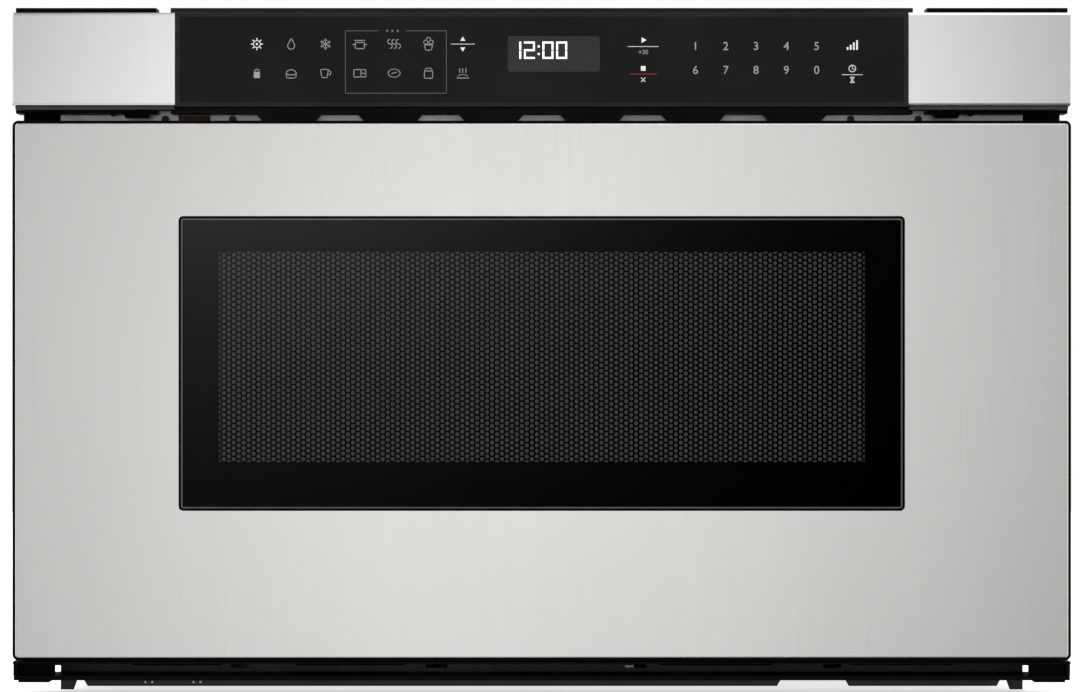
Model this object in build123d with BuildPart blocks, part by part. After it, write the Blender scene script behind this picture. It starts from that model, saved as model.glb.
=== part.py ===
from build123d import *

import os
from math import acos, ceil, cos, pi, radians, sin, tan

# A built-in microwave drawer. Millimetres, +Z up, the drawer front faces -Y.
# The origin is under the middle of the whole object, on the surface that it stands on.

# ---------------------------------------------------------------- driving dimensions

# Overall
FACE_WIDTH = 606.4          # drawer front and control panel, side to side
OVERALL_DEPTH = 588.2       # face of the drawer front to the end of the cable gland
FRONT_STAND = 34.1          # the drawer's face stands this far in front of the chassis
GLAND_STAND = 9.0           # the gland stands this far out of the rear cover
SHEET = 1.2                 # painted and plated steel sheet
FACE_LAP = 23.7             # the front is wider than the chassis by this much on each side
MACHINE_SPACE = 106.6       # room behind the cavity for the microwave parts
SIDE_SPACE = 46.5           # room beside the cavity for the slides

# Drawer front
FRONT_BOTTOM = 19.5         # underside of the drawer front
FRONT_HEIGHT = 309.2
FRONT_CORNER = 3.4          # corner radius of the black frame
RIM = 1.6                   # black rim that shows around the stainless skin
RIM_SET = 1.2               # the rim lies this far behind the face
SKIN = 1.0                  # stainless sheet
SKIN_RETURN = 8.0           # depth of the skin's folded edges
SKIN_EDGE = 0.8             # radius along the skin's folds
FRAME_WALL = 2.4
DOOR_GAP = 0.4              # drawer front to chassis when shut
FIT = 0.1                   # clearance between pieces that are screwed or pressed together

# Window
GLASS_WIDTH = 413.5
GLASS_HEIGHT = 166.4
GLASS_BELOW = 86.9          # glass above the underside of the drawer front
GLASS = 4.0
GLASS_CORNER = 1.5
GLASS_BEVEL = 1.1
GLASS_GAP = 1.2             # black line between glass and skin
VIEW_WIDTH = 380.0          # clear view through the frame
VIEW_HEIGHT = 130.0
VIEW_RAISE = 3.7            # the view's middle above the glass's middle
SCREEN = 0.8
SCREEN_LAP = 6.0            # the screen laps the frame by this much
INNER_GLASS = 2.0
CHOKE_SHEET = 1.5
CHOKE_FLANGE = 10.0
CHOKE_COVER = 2.0

# Drawer tub
TUB_BOTTOM = 98.0
TUB_BELOW_TOP = 42.7        # rim of the tub below the top of the drawer front
TUB_WALL = 4.0
TUB_RIM = 5.0
TUB_RIM_HEIGHT = 3.0
TRAY = 5.0
TRAY_MARGIN = 6.0
TRAY_CORNER = 12.0
TRAY_DISH = 1.5
TRAVEL = 381.0

# Cavity
CAVITY_SIDE_GAP = 2.0       # rim of the tub to the cavity wall
CAVITY_GAP = 3.0            # tub to cavity floor and ceiling
CAVITY_BACK_GAP = 5.5
CHOKE_LAP = 24.0            # the choke cover laps the front plate by this much
CHOKE_LAP_BELOW = 9.0

# Chassis
PANEL_OVER = 23.5           # the control panel stands above the chassis by this much
PAN_HEIGHT = 10.0           # underside of the base pan above the floor
PAN_FLANGE = 25.0
SPLIT_HEIGHT = 30.0         # the front plate stands on the base's front panel here
FLANGE_WIDTH = 21.5         # mounting flange beside the chassis
FLANGE_LEG = 32.0
FLANGE_SHEET = 1.4
FLANGE_HOLE = 5.0
FLANGE_BOTTOM = 14.0
LOW_HOLE = 48.0             # lowest hole above the foot of the flange
HIGH_HOLE = 21.0            # highest hole below the top of the flange

# Slides
RAIL_BOTTOM = 38.0
RAIL_HEIGHT = 44.0
RAIL_DEPTH = 14.0
RAIL = 1.5                  # sheet of the slides
RAIL_INSET = 16.5           # outer face of the fixed rail inside the chassis's side
RAIL_END = 42.7             # the fixed rail stops this far in front of the rear cover
RAIL_CLEARANCE = 0.4

# Rack and pinion
MODULE = 1.5
PINION_TEETH = 16
PRESSURE_ANGLE = 20.0
PITCH_LINE = 60.0           # height of the rack's pitch line
TOOTH_THINNING = 0.35       # taken off each tooth's thickness so that they run free
PINION_BACK = 28.0          # pinion's shaft behind the chassis front
GEAR_WIDTH = 12.0
RACK_WIDTH = 14.0
RACK_TOP = 74.0
SHAFT_RADIUS = 4.0
RUNNING = 0.05              # radial clearance of a shaft in its bearing

# Control panel
PANEL_HEIGHT = 53.3         # stainless wings
PANEL_GAP = 8.5             # top of the drawer front to the wings
WING_WIDTH = 93.1
STRIP_RIM = 2.9
STRIP_GLASS = 3.0
WING_DEPTH = 16.1
WING_EDGE = 1.6
BRACKET_GAP = 8.2           # between a bracket and the strip's housing
BRACKET_ABOVE = 4.0         # brackets and housing stand above the wings by this much
BRACKET_BELOW = 3.5
HOUSING_LAP = 3.9           # the housing reaches behind each wing by this much
HOUSING_WALL = 2.0
LOUVRE_PITCH = 58.6
LOUVRE_TOP = 37.5
LOUVRE_ANGLE = 47.5
LOUVRE_DROP = 4.1

# Bottom trim
TRIM_TOP = 18.6
TRIM_HEIGHT = 10.6
TRIM_SET = 2.0              # behind the drawer's face
TRIM_FLANGE = 1.2
TRIM_LIP = 2.4
TRIM_WEB_SET = 10.0

# Microwave parts
STIRRER_RADIUS = 62.0
STIRRER_OPENING = 75.0      # radius of the opening in the ceiling
GUIDE_HEIGHT = 32.0
GUIDE_WIDTH = 100.0
DOME_WIDTH = 170.0
MAGNETRON_BACK = 58.0       # magnetron's middle in front of the rear cover

# ---------------------------------------------------------------- places worked out

FRONT = -OVERALL_DEPTH / 2
CHASSIS_FRONT = FRONT + FRONT_STAND
PLATE_BACK = CHASSIS_FRONT + SHEET
REAR_OUTSIDE = OVERALL_DEPTH / 2 - GLAND_STAND
REAR = REAR_OUTSIDE - SHEET
FACE_HALF = FACE_WIDTH / 2
CHASSIS_HALF = FACE_HALF - FACE_LAP
CHASSIS_WIDTH = 2 * CHASSIS_HALF

FRONT_TOP = FRONT_BOTTOM + FRONT_HEIGHT
FRONT_MIDDLE = FRONT_BOTTOM + FRONT_HEIGHT / 2
DOOR_BACK = CHASSIS_FRONT - DOOR_GAP
CHOKE_BACK = DOOR_BACK - CHOKE_COVER
CHOKE_FRONT = CHOKE_BACK - CHOKE_SHEET
SKIN_WIDTH = FACE_WIDTH - 2 * RIM
SKIN_HEIGHT = FRONT_HEIGHT - 2 * RIM
SKIN_CORNER = FRONT_CORNER - RIM
GLASS_BACK = FRONT + GLASS
GLASS_CENTRE = FRONT_BOTTOM + GLASS_BELOW + GLASS_HEIGHT / 2
VIEW_CENTRE = GLASS_CENTRE + VIEW_RAISE
WEB_FRONT = FRONT + SKIN_RETURN
WEB_BACK = WEB_FRONT + FRAME_WALL

CAVITY_HALF = CHASSIS_HALF - SIDE_SPACE
RIM_HALF = CAVITY_HALF - CAVITY_SIDE_GAP
TUB_HALF = RIM_HALF - TUB_RIM - TUB_WALL
TUB_WIDTH = 2 * TUB_HALF
TUB_TOP = FRONT_TOP - TUB_BELOW_TOP
TUB_HEIGHT = TUB_TOP - TUB_BOTTOM
CAVITY_BACK = REAR - MACHINE_SPACE - SHEET
TUB_BACK = CAVITY_BACK - CAVITY_BACK_GAP - TUB_RIM - TUB_WALL
TUB_LENGTH = TUB_BACK - CHOKE_BACK
CAVITY_BOTTOM = TUB_BOTTOM - CAVITY_GAP
CAVITY_TOP = TUB_TOP + CAVITY_GAP
CAVITY_HEIGHT = CAVITY_TOP - CAVITY_BOTTOM
CAVITY_MIDDLE = (PLATE_BACK + CAVITY_BACK) / 2
CEILING_TOP = CAVITY_TOP + SHEET
PAN_TOP = PAN_HEIGHT + SHEET
RAIL_OUTSIDE = CHASSIS_HALF - RAIL_INSET
RAIL_LENGTH = REAR - PLATE_BACK - RAIL_END

PINION_RADIUS = MODULE * PINION_TEETH / 2
PINION_Y = CHASSIS_FRONT + PINION_BACK
PINION_Z = PITCH_LINE - PINION_RADIUS
TOOTH_PITCH = pi * MODULE
TOOTH_THICKNESS = TOOTH_PITCH / 2 - TOOTH_THINNING

PANEL_BOTTOM = FRONT_TOP + PANEL_GAP
STRIP_HALF = FACE_HALF - WING_WIDTH
STRIP_WIDTH = 2 * STRIP_HALF
STRIP_MIDDLE = PANEL_BOTTOM + PANEL_HEIGHT / 2
HOUSING_HALF = STRIP_HALF + HOUSING_LAP
HOUSING_WIDTH = 2 * HOUSING_HALF
PANEL_BACK = FRONT + WING_DEPTH
PANEL_TOP = PANEL_BOTTOM + PANEL_HEIGHT + BRACKET_ABOVE
BRACKET_BOTTOM = PANEL_BOTTOM - BRACKET_BELOW
BRACKET_WIDTH = FACE_HALF - HOUSING_HALF - BRACKET_GAP
BRACKET_HEIGHT = PANEL_TOP - BRACKET_BOTTOM
BRACKET_MIDDLE = (PANEL_TOP + BRACKET_BOTTOM) / 2
CHASSIS_TOP = PANEL_TOP - PANEL_OVER
HOLE_HEIGHTS = (
    FLANGE_BOTTOM + LOW_HOLE,
    (FLANGE_BOTTOM + LOW_HOLE + CHASSIS_TOP - HIGH_HOLE) / 2,
    CHASSIS_TOP - HIGH_HOLE,
)

MAGNETRON_Y = REAR - MAGNETRON_BACK
SIDES = (("left", -1), ("right", 1))


def across(y):
    """A plane facing the front at depth y; a negative extrusion runs back from it."""
    return Plane.XZ.offset(-y)


os.makedirs("parts", exist_ok=True)

# ---------------------------------------------------------------- drawer front

# Stainless skin with folded edges and a folded lip around the window.
with BuildPart() as drawer_front_skin:
    with BuildSketch(across(FRONT)):
        with Locations((0, FRONT_MIDDLE)):
            RectangleRounded(SKIN_WIDTH, SKIN_HEIGHT, SKIN_CORNER)
    extrude(amount=-SKIN_RETURN)
    fillet(drawer_front_skin.faces().sort_by(Axis.Y)[0].edges(), SKIN_EDGE)
    with BuildSketch(across(FRONT + SKIN)):
        with Locations((0, FRONT_MIDDLE)):
            RectangleRounded(SKIN_WIDTH - 2 * SKIN, SKIN_HEIGHT - 2 * SKIN, SKIN_CORNER - SKIN / 2)
    extrude(amount=-SKIN_RETURN, mode=Mode.SUBTRACT)
    with BuildSketch(across(FRONT + SKIN)):
        with Locations((0, GLASS_CENTRE)):
            RectangleRounded(
                GLASS_WIDTH + 2 * GLASS_GAP + 2 * SKIN,
                GLASS_HEIGHT + 2 * GLASS_GAP + 2 * SKIN,
                GLASS_CORNER + GLASS_GAP + SKIN,
            )
    extrude(amount=-(GLASS - SKIN))
    with BuildSketch(across(FRONT)):
        with Locations((0, GLASS_CENTRE)):
            RectangleRounded(
                GLASS_WIDTH + 2 * GLASS_GAP,
                GLASS_HEIGHT + 2 * GLASS_GAP,
                GLASS_CORNER + GLASS_GAP,
            )
    extrude(amount=-GLASS, mode=Mode.SUBTRACT)
drawer_front_skin.part.label = "drawer_front_skin"
export_step(drawer_front_skin.part, "parts/drawer_front_skin.step")

# Black frame: a rim around the skin, a web behind it and a seat for glass and screen.
with BuildPart() as drawer_front_frame:
    with BuildSketch(across(FRONT + RIM_SET)):
        with Locations((0, FRONT_MIDDLE)):
            RectangleRounded(FACE_WIDTH, FRONT_HEIGHT, FRONT_CORNER)
    extrude(amount=-(CHOKE_BACK - FRONT - RIM_SET))
    with BuildSketch(across(FRONT + RIM_SET)):
        with Locations((0, FRONT_MIDDLE)):
            RectangleRounded(SKIN_WIDTH + 2 * FIT, SKIN_HEIGHT + 2 * FIT, SKIN_CORNER + FIT)
    extrude(amount=-(SKIN_RETURN - RIM_SET), mode=Mode.SUBTRACT)
    with BuildSketch(across(WEB_BACK)):
        with Locations((0, FRONT_MIDDLE)):
            Rectangle(FACE_WIDTH - 2 * FRAME_WALL, FRONT_HEIGHT - 2 * FRAME_WALL)
    extrude(amount=-(CHOKE_BACK - WEB_BACK), mode=Mode.SUBTRACT)
    with BuildSketch(across(GLASS_BACK)):
        with Locations((0, GLASS_CENTRE)):
            Rectangle(GLASS_WIDTH, GLASS_HEIGHT)
    extrude(amount=-(WEB_FRONT - GLASS_BACK))
    with BuildSketch(across(GLASS_BACK)):
        with Locations((0, VIEW_CENTRE)):
            Rectangle(VIEW_WIDTH + 2 * SCREEN_LAP, VIEW_HEIGHT + 2 * SCREEN_LAP)
    extrude(amount=-SCREEN, mode=Mode.SUBTRACT)
    with BuildSketch(across(GLASS_BACK)):
        with Locations((0, VIEW_CENTRE)):
            Rectangle(VIEW_WIDTH, VIEW_HEIGHT)
    extrude(amount=-(WEB_BACK - GLASS_BACK), mode=Mode.SUBTRACT)
drawer_front_frame.part.label = "drawer_front_frame"
export_step(drawer_front_frame.part, "parts/drawer_front_frame.step")

with BuildPart() as window_glass:
    with BuildSketch(across(FRONT)):
        with Locations((0, GLASS_CENTRE)):
            RectangleRounded(GLASS_WIDTH, GLASS_HEIGHT, GLASS_CORNER)
    extrude(amount=-GLASS)
    chamfer(window_glass.faces().sort_by(Axis.Y)[0].edges(), GLASS_BEVEL)
window_glass.part.label = "window_glass"
export_step(window_glass.part, "parts/window_glass.step")

# The perforated screen; its fine holes are left to the finish.
with BuildPart() as window_screen:
    with BuildSketch(across(GLASS_BACK)):
        with Locations((0, VIEW_CENTRE)):
            Rectangle(
                VIEW_WIDTH + 2 * SCREEN_LAP - 2 * FIT, VIEW_HEIGHT + 2 * SCREEN_LAP - 2 * FIT
            )
    extrude(amount=-SCREEN)
window_screen.part.label = "window_screen"
export_step(window_screen.part, "parts/window_screen.step")

# Steel pan that closes the drawer front and makes the tub's front wall.
with BuildPart() as choke_panel:
    with BuildSketch(across(CHOKE_BACK - CHOKE_FLANGE)):
        with Locations((0, FRONT_MIDDLE)):
            Rectangle(
                FACE_WIDTH - 2 * FRAME_WALL - 2 * FIT, FRONT_HEIGHT - 2 * FRAME_WALL - 2 * FIT
            )
            Rectangle(
                FACE_WIDTH - 2 * FRAME_WALL - 2 * FIT - 2 * CHOKE_SHEET,
                FRONT_HEIGHT - 2 * FRAME_WALL - 2 * FIT - 2 * CHOKE_SHEET,
                mode=Mode.SUBTRACT,
            )
    extrude(amount=-(CHOKE_FLANGE - CHOKE_SHEET))
    with BuildSketch(across(CHOKE_FRONT)):
        with Locations((0, FRONT_MIDDLE)):
            Rectangle(
                FACE_WIDTH - 2 * FRAME_WALL - 2 * FIT, FRONT_HEIGHT - 2 * FRAME_WALL - 2 * FIT
            )
        with Locations((0, VIEW_CENTRE)):
            RectangleRounded(VIEW_WIDTH, VIEW_HEIGHT, GLASS_CORNER, mode=Mode.SUBTRACT)
    extrude(amount=-CHOKE_SHEET)
choke_panel.part.label = "choke_panel"
export_step(choke_panel.part, "parts/choke_panel.step")

with BuildPart() as inner_window:
    with BuildSketch(across(CHOKE_FRONT - INNER_GLASS)):
        with Locations((0, VIEW_CENTRE)):
            RectangleRounded(VIEW_WIDTH + 2 * SCREEN_LAP, VIEW_HEIGHT + 2 * SCREEN_LAP, GLASS_CORNER)
    extrude(amount=-INNER_GLASS)
inner_window.part.label = "inner_window"
export_step(inner_window.part, "parts/inner_window.step")

# Plastic cover over the choke, a ring that faces the front plate around the cavity's mouth.
with BuildPart() as choke_cover:
    with BuildSketch(across(CHOKE_BACK)):
        with Locations((0, (CAVITY_BOTTOM - CHOKE_LAP_BELOW + CAVITY_TOP + CHOKE_LAP) / 2)):
            RectangleRounded(
                2 * (CAVITY_HALF + CHOKE_LAP), CAVITY_HEIGHT + CHOKE_LAP + CHOKE_LAP_BELOW, 6
            )
        with Locations((0, (TUB_BOTTOM + TUB_TOP) / 2)):
            Rectangle(2 * RIM_HALF + 2 * FIT, TUB_HEIGHT + 2 * FIT, mode=Mode.SUBTRACT)
    extrude(amount=-CHOKE_COVER)
    fillet(choke_cover.faces().sort_by(Axis.Y)[-1].outer_wire().edges(), 1.0)
choke_cover.part.label = "choke_cover"
export_step(choke_cover.part, "parts/choke_cover.step")

# ---------------------------------------------------------------- drawer tub

with BuildPart() as drawer_floor:
    with BuildSketch(Plane.XY.offset(TUB_BOTTOM)):
        with Locations((0, (CHOKE_BACK + TUB_BACK) / 2)):
            Rectangle(TUB_WIDTH, TUB_LENGTH)
    extrude(amount=TUB_WALL)
drawer_floor.part.label = "drawer_floor"
export_step(drawer_floor.part, "parts/drawer_floor.step")

with BuildPart() as ceramic_tray:
    with BuildSketch(Plane.XY.offset(TUB_BOTTOM + TUB_WALL)):
        with Locations((0, (CHOKE_BACK + TUB_BACK) / 2)):
            RectangleRounded(TUB_WIDTH - 2 * TRAY_MARGIN, TUB_LENGTH - 2 * TRAY_MARGIN, TRAY_CORNER)
    extrude(amount=TRAY)
    with BuildSketch(Plane.XY.offset(TUB_BOTTOM + TUB_WALL + TRAY - TRAY_DISH)):
        with Locations((0, (CHOKE_BACK + TUB_BACK) / 2)):
            RectangleRounded(
                TUB_WIDTH - 4 * TRAY_MARGIN, TUB_LENGTH - 4 * TRAY_MARGIN, TRAY_CORNER - TRAY_MARGIN / 2
            )
    extrude(amount=TRAY_DISH, mode=Mode.SUBTRACT)
    fillet(ceramic_tray.faces().sort_by(Axis.Z)[-1].edges(), 0.6)
ceramic_tray.part.label = "ceramic_tray"
export_step(ceramic_tray.part, "parts/ceramic_tray.step")

for side, sign in SIDES:
    with BuildPart() as drawer_side:
        with BuildSketch(across(CHOKE_BACK)):
            with Locations((sign * (TUB_HALF + TUB_WALL / 2), (TUB_BOTTOM + TUB_TOP) / 2)):
                Rectangle(TUB_WALL, TUB_HEIGHT)
            with Locations((sign * (TUB_HALF + (TUB_WALL + TUB_RIM) / 2), TUB_TOP - TUB_RIM_HEIGHT / 2)):
                Rectangle(TUB_WALL + TUB_RIM, TUB_RIM_HEIGHT)
        extrude(amount=-(TUB_LENGTH + TUB_WALL))
        top = drawer_side.faces().sort_by(Axis.Z)[-1]
        fillet(top.edges().filter_by(Axis.Y), TUB_RIM_HEIGHT / 3)
    drawer_side.part.label = f"drawer_side_{side}"
    export_step(drawer_side.part, f"parts/drawer_side_{side}.step")

with BuildPart() as drawer_back:
    with BuildSketch(Plane.YZ.offset(-TUB_HALF)):
        with Locations((TUB_BACK + TUB_WALL / 2, (TUB_BOTTOM + TUB_TOP) / 2)):
            Rectangle(TUB_WALL, TUB_HEIGHT)
        with Locations((TUB_BACK + (TUB_WALL + TUB_RIM) / 2, TUB_TOP - TUB_RIM_HEIGHT / 2)):
            Rectangle(TUB_WALL + TUB_RIM, TUB_RIM_HEIGHT)
    extrude(amount=TUB_WIDTH)
    top = drawer_back.faces().sort_by(Axis.Z)[-1]
    fillet(top.edges().filter_by(Axis.X), TUB_RIM_HEIGHT / 3)
drawer_back.part.label = "drawer_back"
export_step(drawer_back.part, "parts/drawer_back.step")

# Two hooks on the drawer front that reach through the front plate to the interlock switches.
HOOK_INSET = 10.0           # hooks stand this far outside the choke's lap
LOW_HOOK = 55.0             # above the cavity's floor
HIGH_HOOK = 49.0            # below the cavity's ceiling
HOOK_HEIGHTS = (CAVITY_BOTTOM + LOW_HOOK, CAVITY_TOP - HIGH_HOOK)
HOOK_X = -(CAVITY_HALF + CHOKE_LAP + HOOK_INSET)
HOOK_WIDTH = 5.0
HOOK_TALL = 10.0
HOOK_LENGTH = 24.5
HOOK_NOTCH = 3.0
NOTCH_LENGTH = 8.0
NOTCH_INSET = 14.0
SLOT_CLEARANCE = 2.0
with BuildPart() as latch_hooks:
    for height in HOOK_HEIGHTS:
        with BuildSketch(across(CHOKE_BACK)):
            with Locations((HOOK_X, height)):
                Rectangle(HOOK_WIDTH, HOOK_TALL)
        extrude(amount=-HOOK_LENGTH)
        with BuildSketch(across(CHOKE_BACK + HOOK_LENGTH - NOTCH_INSET)):
            with Locations((HOOK_X, height + HOOK_TALL / 2)):
                Rectangle(HOOK_WIDTH, 2 * HOOK_NOTCH)
        extrude(amount=-NOTCH_LENGTH, mode=Mode.SUBTRACT)
latch_hooks.part.label = "latch_hooks"
export_step(latch_hooks.part, "parts/latch_hooks.step")

# ---------------------------------------------------------------- telescopic slides

RAIL_MIDDLE = RAIL_BOTTOM + RAIL_HEIGHT / 2
RAIL_STEP = RAIL + RAIL_CLEARANCE
RUNNER_FOOT = 26.0          # flange that fastens the runner to the drawer front
RAIL_LEG = 60.0             # length of each leg under a fixed rail
RAIL_FOOT = 12.0
RAIL_SHORTER = 4.0          # each nested member is shorter by this much
FLANGE_SHORTER = 1.35       # and its flanges by this much


def rail_profile(sign, step):
    """A channel that opens towards the middle; each step nests one inside the other."""
    width = RAIL_DEPTH - step * FLANGE_SHORTER
    height = RAIL_HEIGHT - 2 * step * RAIL_STEP
    outside = RAIL_OUTSIDE - step * RAIL_STEP
    with Locations((sign * (outside - width / 2), RAIL_MIDDLE)):
        Rectangle(width, height)
    with Locations((sign * (outside - RAIL - width / 2), RAIL_MIDDLE)):
        Rectangle(width, height - 2 * RAIL, mode=Mode.SUBTRACT)


for side, sign in SIDES:
    with BuildPart() as outer_rail:
        with BuildSketch(across(PLATE_BACK)):
            rail_profile(sign, 0)
        extrude(amount=-RAIL_LENGTH)
        for start in (PLATE_BACK, PLATE_BACK + RAIL_LENGTH - RAIL_LEG):
            with BuildSketch(across(start)):
                with Locations((sign * (RAIL_OUTSIDE - RAIL / 2), (PAN_TOP + RAIL_BOTTOM + RAIL) / 2)):
                    Rectangle(RAIL, RAIL_BOTTOM + RAIL - PAN_TOP)
                with Locations((sign * (RAIL_OUTSIDE - RAIL + RAIL_FOOT / 2), PAN_TOP + RAIL / 2)):
                    Rectangle(RAIL_FOOT, RAIL)
            extrude(amount=-RAIL_LEG)
    outer_rail.part.label = f"outer_rail_{side}"
    export_step(outer_rail.part, f"parts/outer_rail_{side}.step")

    with BuildPart() as middle_rail:
        with BuildSketch(across(PLATE_BACK)):
            rail_profile(sign, 1)
        extrude(amount=-(RAIL_LENGTH - RAIL_SHORTER))
    middle_rail.part.label = f"middle_rail_{side}"
    export_step(middle_rail.part, f"parts/middle_rail_{side}.step")

    with BuildPart() as runner:
        with BuildSketch(across(CHOKE_BACK)):
            rail_profile(sign, 2)
        extrude(amount=-(RAIL_LENGTH - 2 * RAIL_SHORTER))
        runner_outside = RAIL_OUTSIDE - 2 * RAIL_STEP
        with BuildSketch(across(CHOKE_BACK)):
            with Locations((sign * (runner_outside - RUNNER_FOOT / 2), RAIL_MIDDLE)):
                Rectangle(RUNNER_FOOT, RAIL_HEIGHT - 4 * RAIL_STEP)
        extrude(amount=-RAIL)
    runner.part.label = f"runner_{side}"
    export_step(runner.part, f"parts/runner_{side}.step")

# ---------------------------------------------------------------- rack and pinion

ADDENDUM = MODULE
DEDENDUM = 1.25 * MODULE
FLANK = tan(radians(PRESSURE_ANGLE))
GAPS_AHEAD = 3
GAPS_BEHIND = ceil((TRAVEL + PINION_RADIUS) / TOOTH_PITCH)
RACK_REAR = PINION_Y + (GAPS_BEHIND + 1) * TOOTH_PITCH
RACK_FOOT_WIDTH = 40.0
RACK_FOOT_HEIGHT = 24.0


def rack_outline():
    """The rack seen from the side; a gap is centred over the pinion's shaft."""
    root = PITCH_LINE + DEDENDUM
    tip = PITCH_LINE - ADDENDUM
    space = TOOTH_PITCH - TOOTH_THICKNESS
    outline = [(CHOKE_BACK, RACK_TOP), (CHOKE_BACK, root)]
    for index in range(-GAPS_AHEAD, GAPS_BEHIND + 1):
        middle = PINION_Y + index * TOOTH_PITCH
        at_tip = space / 2 + ADDENDUM * FLANK
        at_root = space / 2 - DEDENDUM * FLANK
        if index > -GAPS_AHEAD:
            outline.append((middle - at_tip, tip))
        outline.append((middle - at_root, root))
        outline.append((middle + at_root, root))
        if index < GAPS_BEHIND:
            outline.append((middle + at_tip, tip))
    outline.append((RACK_REAR, root))
    outline.append((RACK_REAR, RACK_TOP))
    return outline


with BuildPart() as drive_rack:
    with BuildSketch(Plane.YZ.offset(-RACK_WIDTH / 2)):
        with BuildLine():
            Polyline(*rack_outline(), close=True)
        make_face()
    extrude(amount=RACK_WIDTH)
    with BuildSketch(across(CHOKE_BACK)):
        with Locations((0, RACK_TOP - RACK_FOOT_HEIGHT / 2)):
            Rectangle(RACK_FOOT_WIDTH, RACK_FOOT_HEIGHT)
    extrude(amount=-RAIL)
drive_rack.part.label = "drive_rack"
export_step(drive_rack.part, "parts/drive_rack.step")


def involute(angle):
    return tan(angle) - angle


def pinion_outline():
    """Sixteen involute teeth, the first one pointing straight up."""
    base = PINION_RADIUS * cos(radians(PRESSURE_ANGLE))
    root = PINION_RADIUS - DEDENDUM
    tip = PINION_RADIUS + ADDENDUM
    at_pitch = TOOTH_THICKNESS / 2 / PINION_RADIUS + involute(radians(PRESSURE_ANGLE))
    flank = [(root, at_pitch)]
    for step in range(4):
        radius = base + (tip - base) * step / 3
        flank.append((radius, at_pitch - involute(acos(base / radius))))
    outline = []
    for tooth in range(PINION_TEETH):
        middle = pi / 2 + tooth * 2 * pi / PINION_TEETH
        for radius, half in flank:
            outline.append((radius * cos(middle - half), radius * sin(middle - half)))
        for radius, half in reversed(flank):
            outline.append((radius * cos(middle + half), radius * sin(middle + half)))
    return outline


GEAR_CASE_GAP = 5.0
PINION_PLANE = Plane(
    origin=(-GEAR_WIDTH / 2, PINION_Y, PINION_Z), x_dir=(0, 1, 0), z_dir=(1, 0, 0)
)
GEAR_CASE_START = (RACK_WIDTH + GEAR_CASE_GAP) / 2
GEAR_CASE_LENGTH = 24.0
SHAFT_LENGTH = 18.0         # length of the pinion's shaft inside the gear case
with BuildPart() as drive_pinion:
    with BuildSketch(PINION_PLANE):
        with BuildLine():
            Polyline(*pinion_outline(), close=True)
        make_face()
    extrude(amount=GEAR_WIDTH)
    with BuildSketch(PINION_PLANE):
        Circle(SHAFT_RADIUS)
    extrude(amount=GEAR_WIDTH / 2 + GEAR_CASE_START + SHAFT_LENGTH)
drive_pinion.part.label = "drive_pinion"
export_step(drive_pinion.part, "parts/drive_pinion.step")

# Gear case on its foot, with the motor's can beside it.
CASE_DEEP = 46.0
CASE_TALL = 48.0
CASE_CORNER = 8.0
CASE_FOOT = 2.5
CASE_FOOT_LENGTH = 44.0
BEARING_END = 1.0           # room behind the end of a shaft in its bearing
MOTOR_RADIUS = 18.0
MOTOR_LENGTH = 58.0
with BuildPart() as drive_motor:
    with BuildSketch(Plane.YZ.offset(GEAR_CASE_START)):
        with Locations((PINION_Y, PINION_Z)):
            RectangleRounded(CASE_DEEP, CASE_TALL, CASE_CORNER)
        with Locations((PINION_Y, (PAN_TOP + PINION_Z) / 2)):
            Rectangle(CASE_DEEP - 2 * CASE_CORNER, PINION_Z - PAN_TOP)
    extrude(amount=GEAR_CASE_LENGTH)
    with BuildSketch(Plane.XY.offset(PAN_TOP)):
        with Locations((GEAR_CASE_START + CASE_FOOT_LENGTH / 2, PINION_Y)):
            Rectangle(CASE_FOOT_LENGTH, CASE_DEEP)
    extrude(amount=CASE_FOOT)
    with BuildSketch(Plane.YZ.offset(GEAR_CASE_START + GEAR_CASE_LENGTH)):
        with Locations((PINION_Y, PINION_Z)):
            Circle(MOTOR_RADIUS)
    extrude(amount=MOTOR_LENGTH)
    fillet(drive_motor.faces().sort_by(Axis.X)[-1].edges(), 3)
    with BuildSketch(Plane.YZ.offset(GEAR_CASE_START)):
        with Locations((PINION_Y, PINION_Z)):
            Circle(SHAFT_RADIUS + RUNNING)
    extrude(amount=SHAFT_LENGTH + BEARING_END, mode=Mode.SUBTRACT)
drive_motor.part.label = "drive_motor"
export_step(drive_motor.part, "parts/drive_motor.step")

# ---------------------------------------------------------------- cavity

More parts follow.
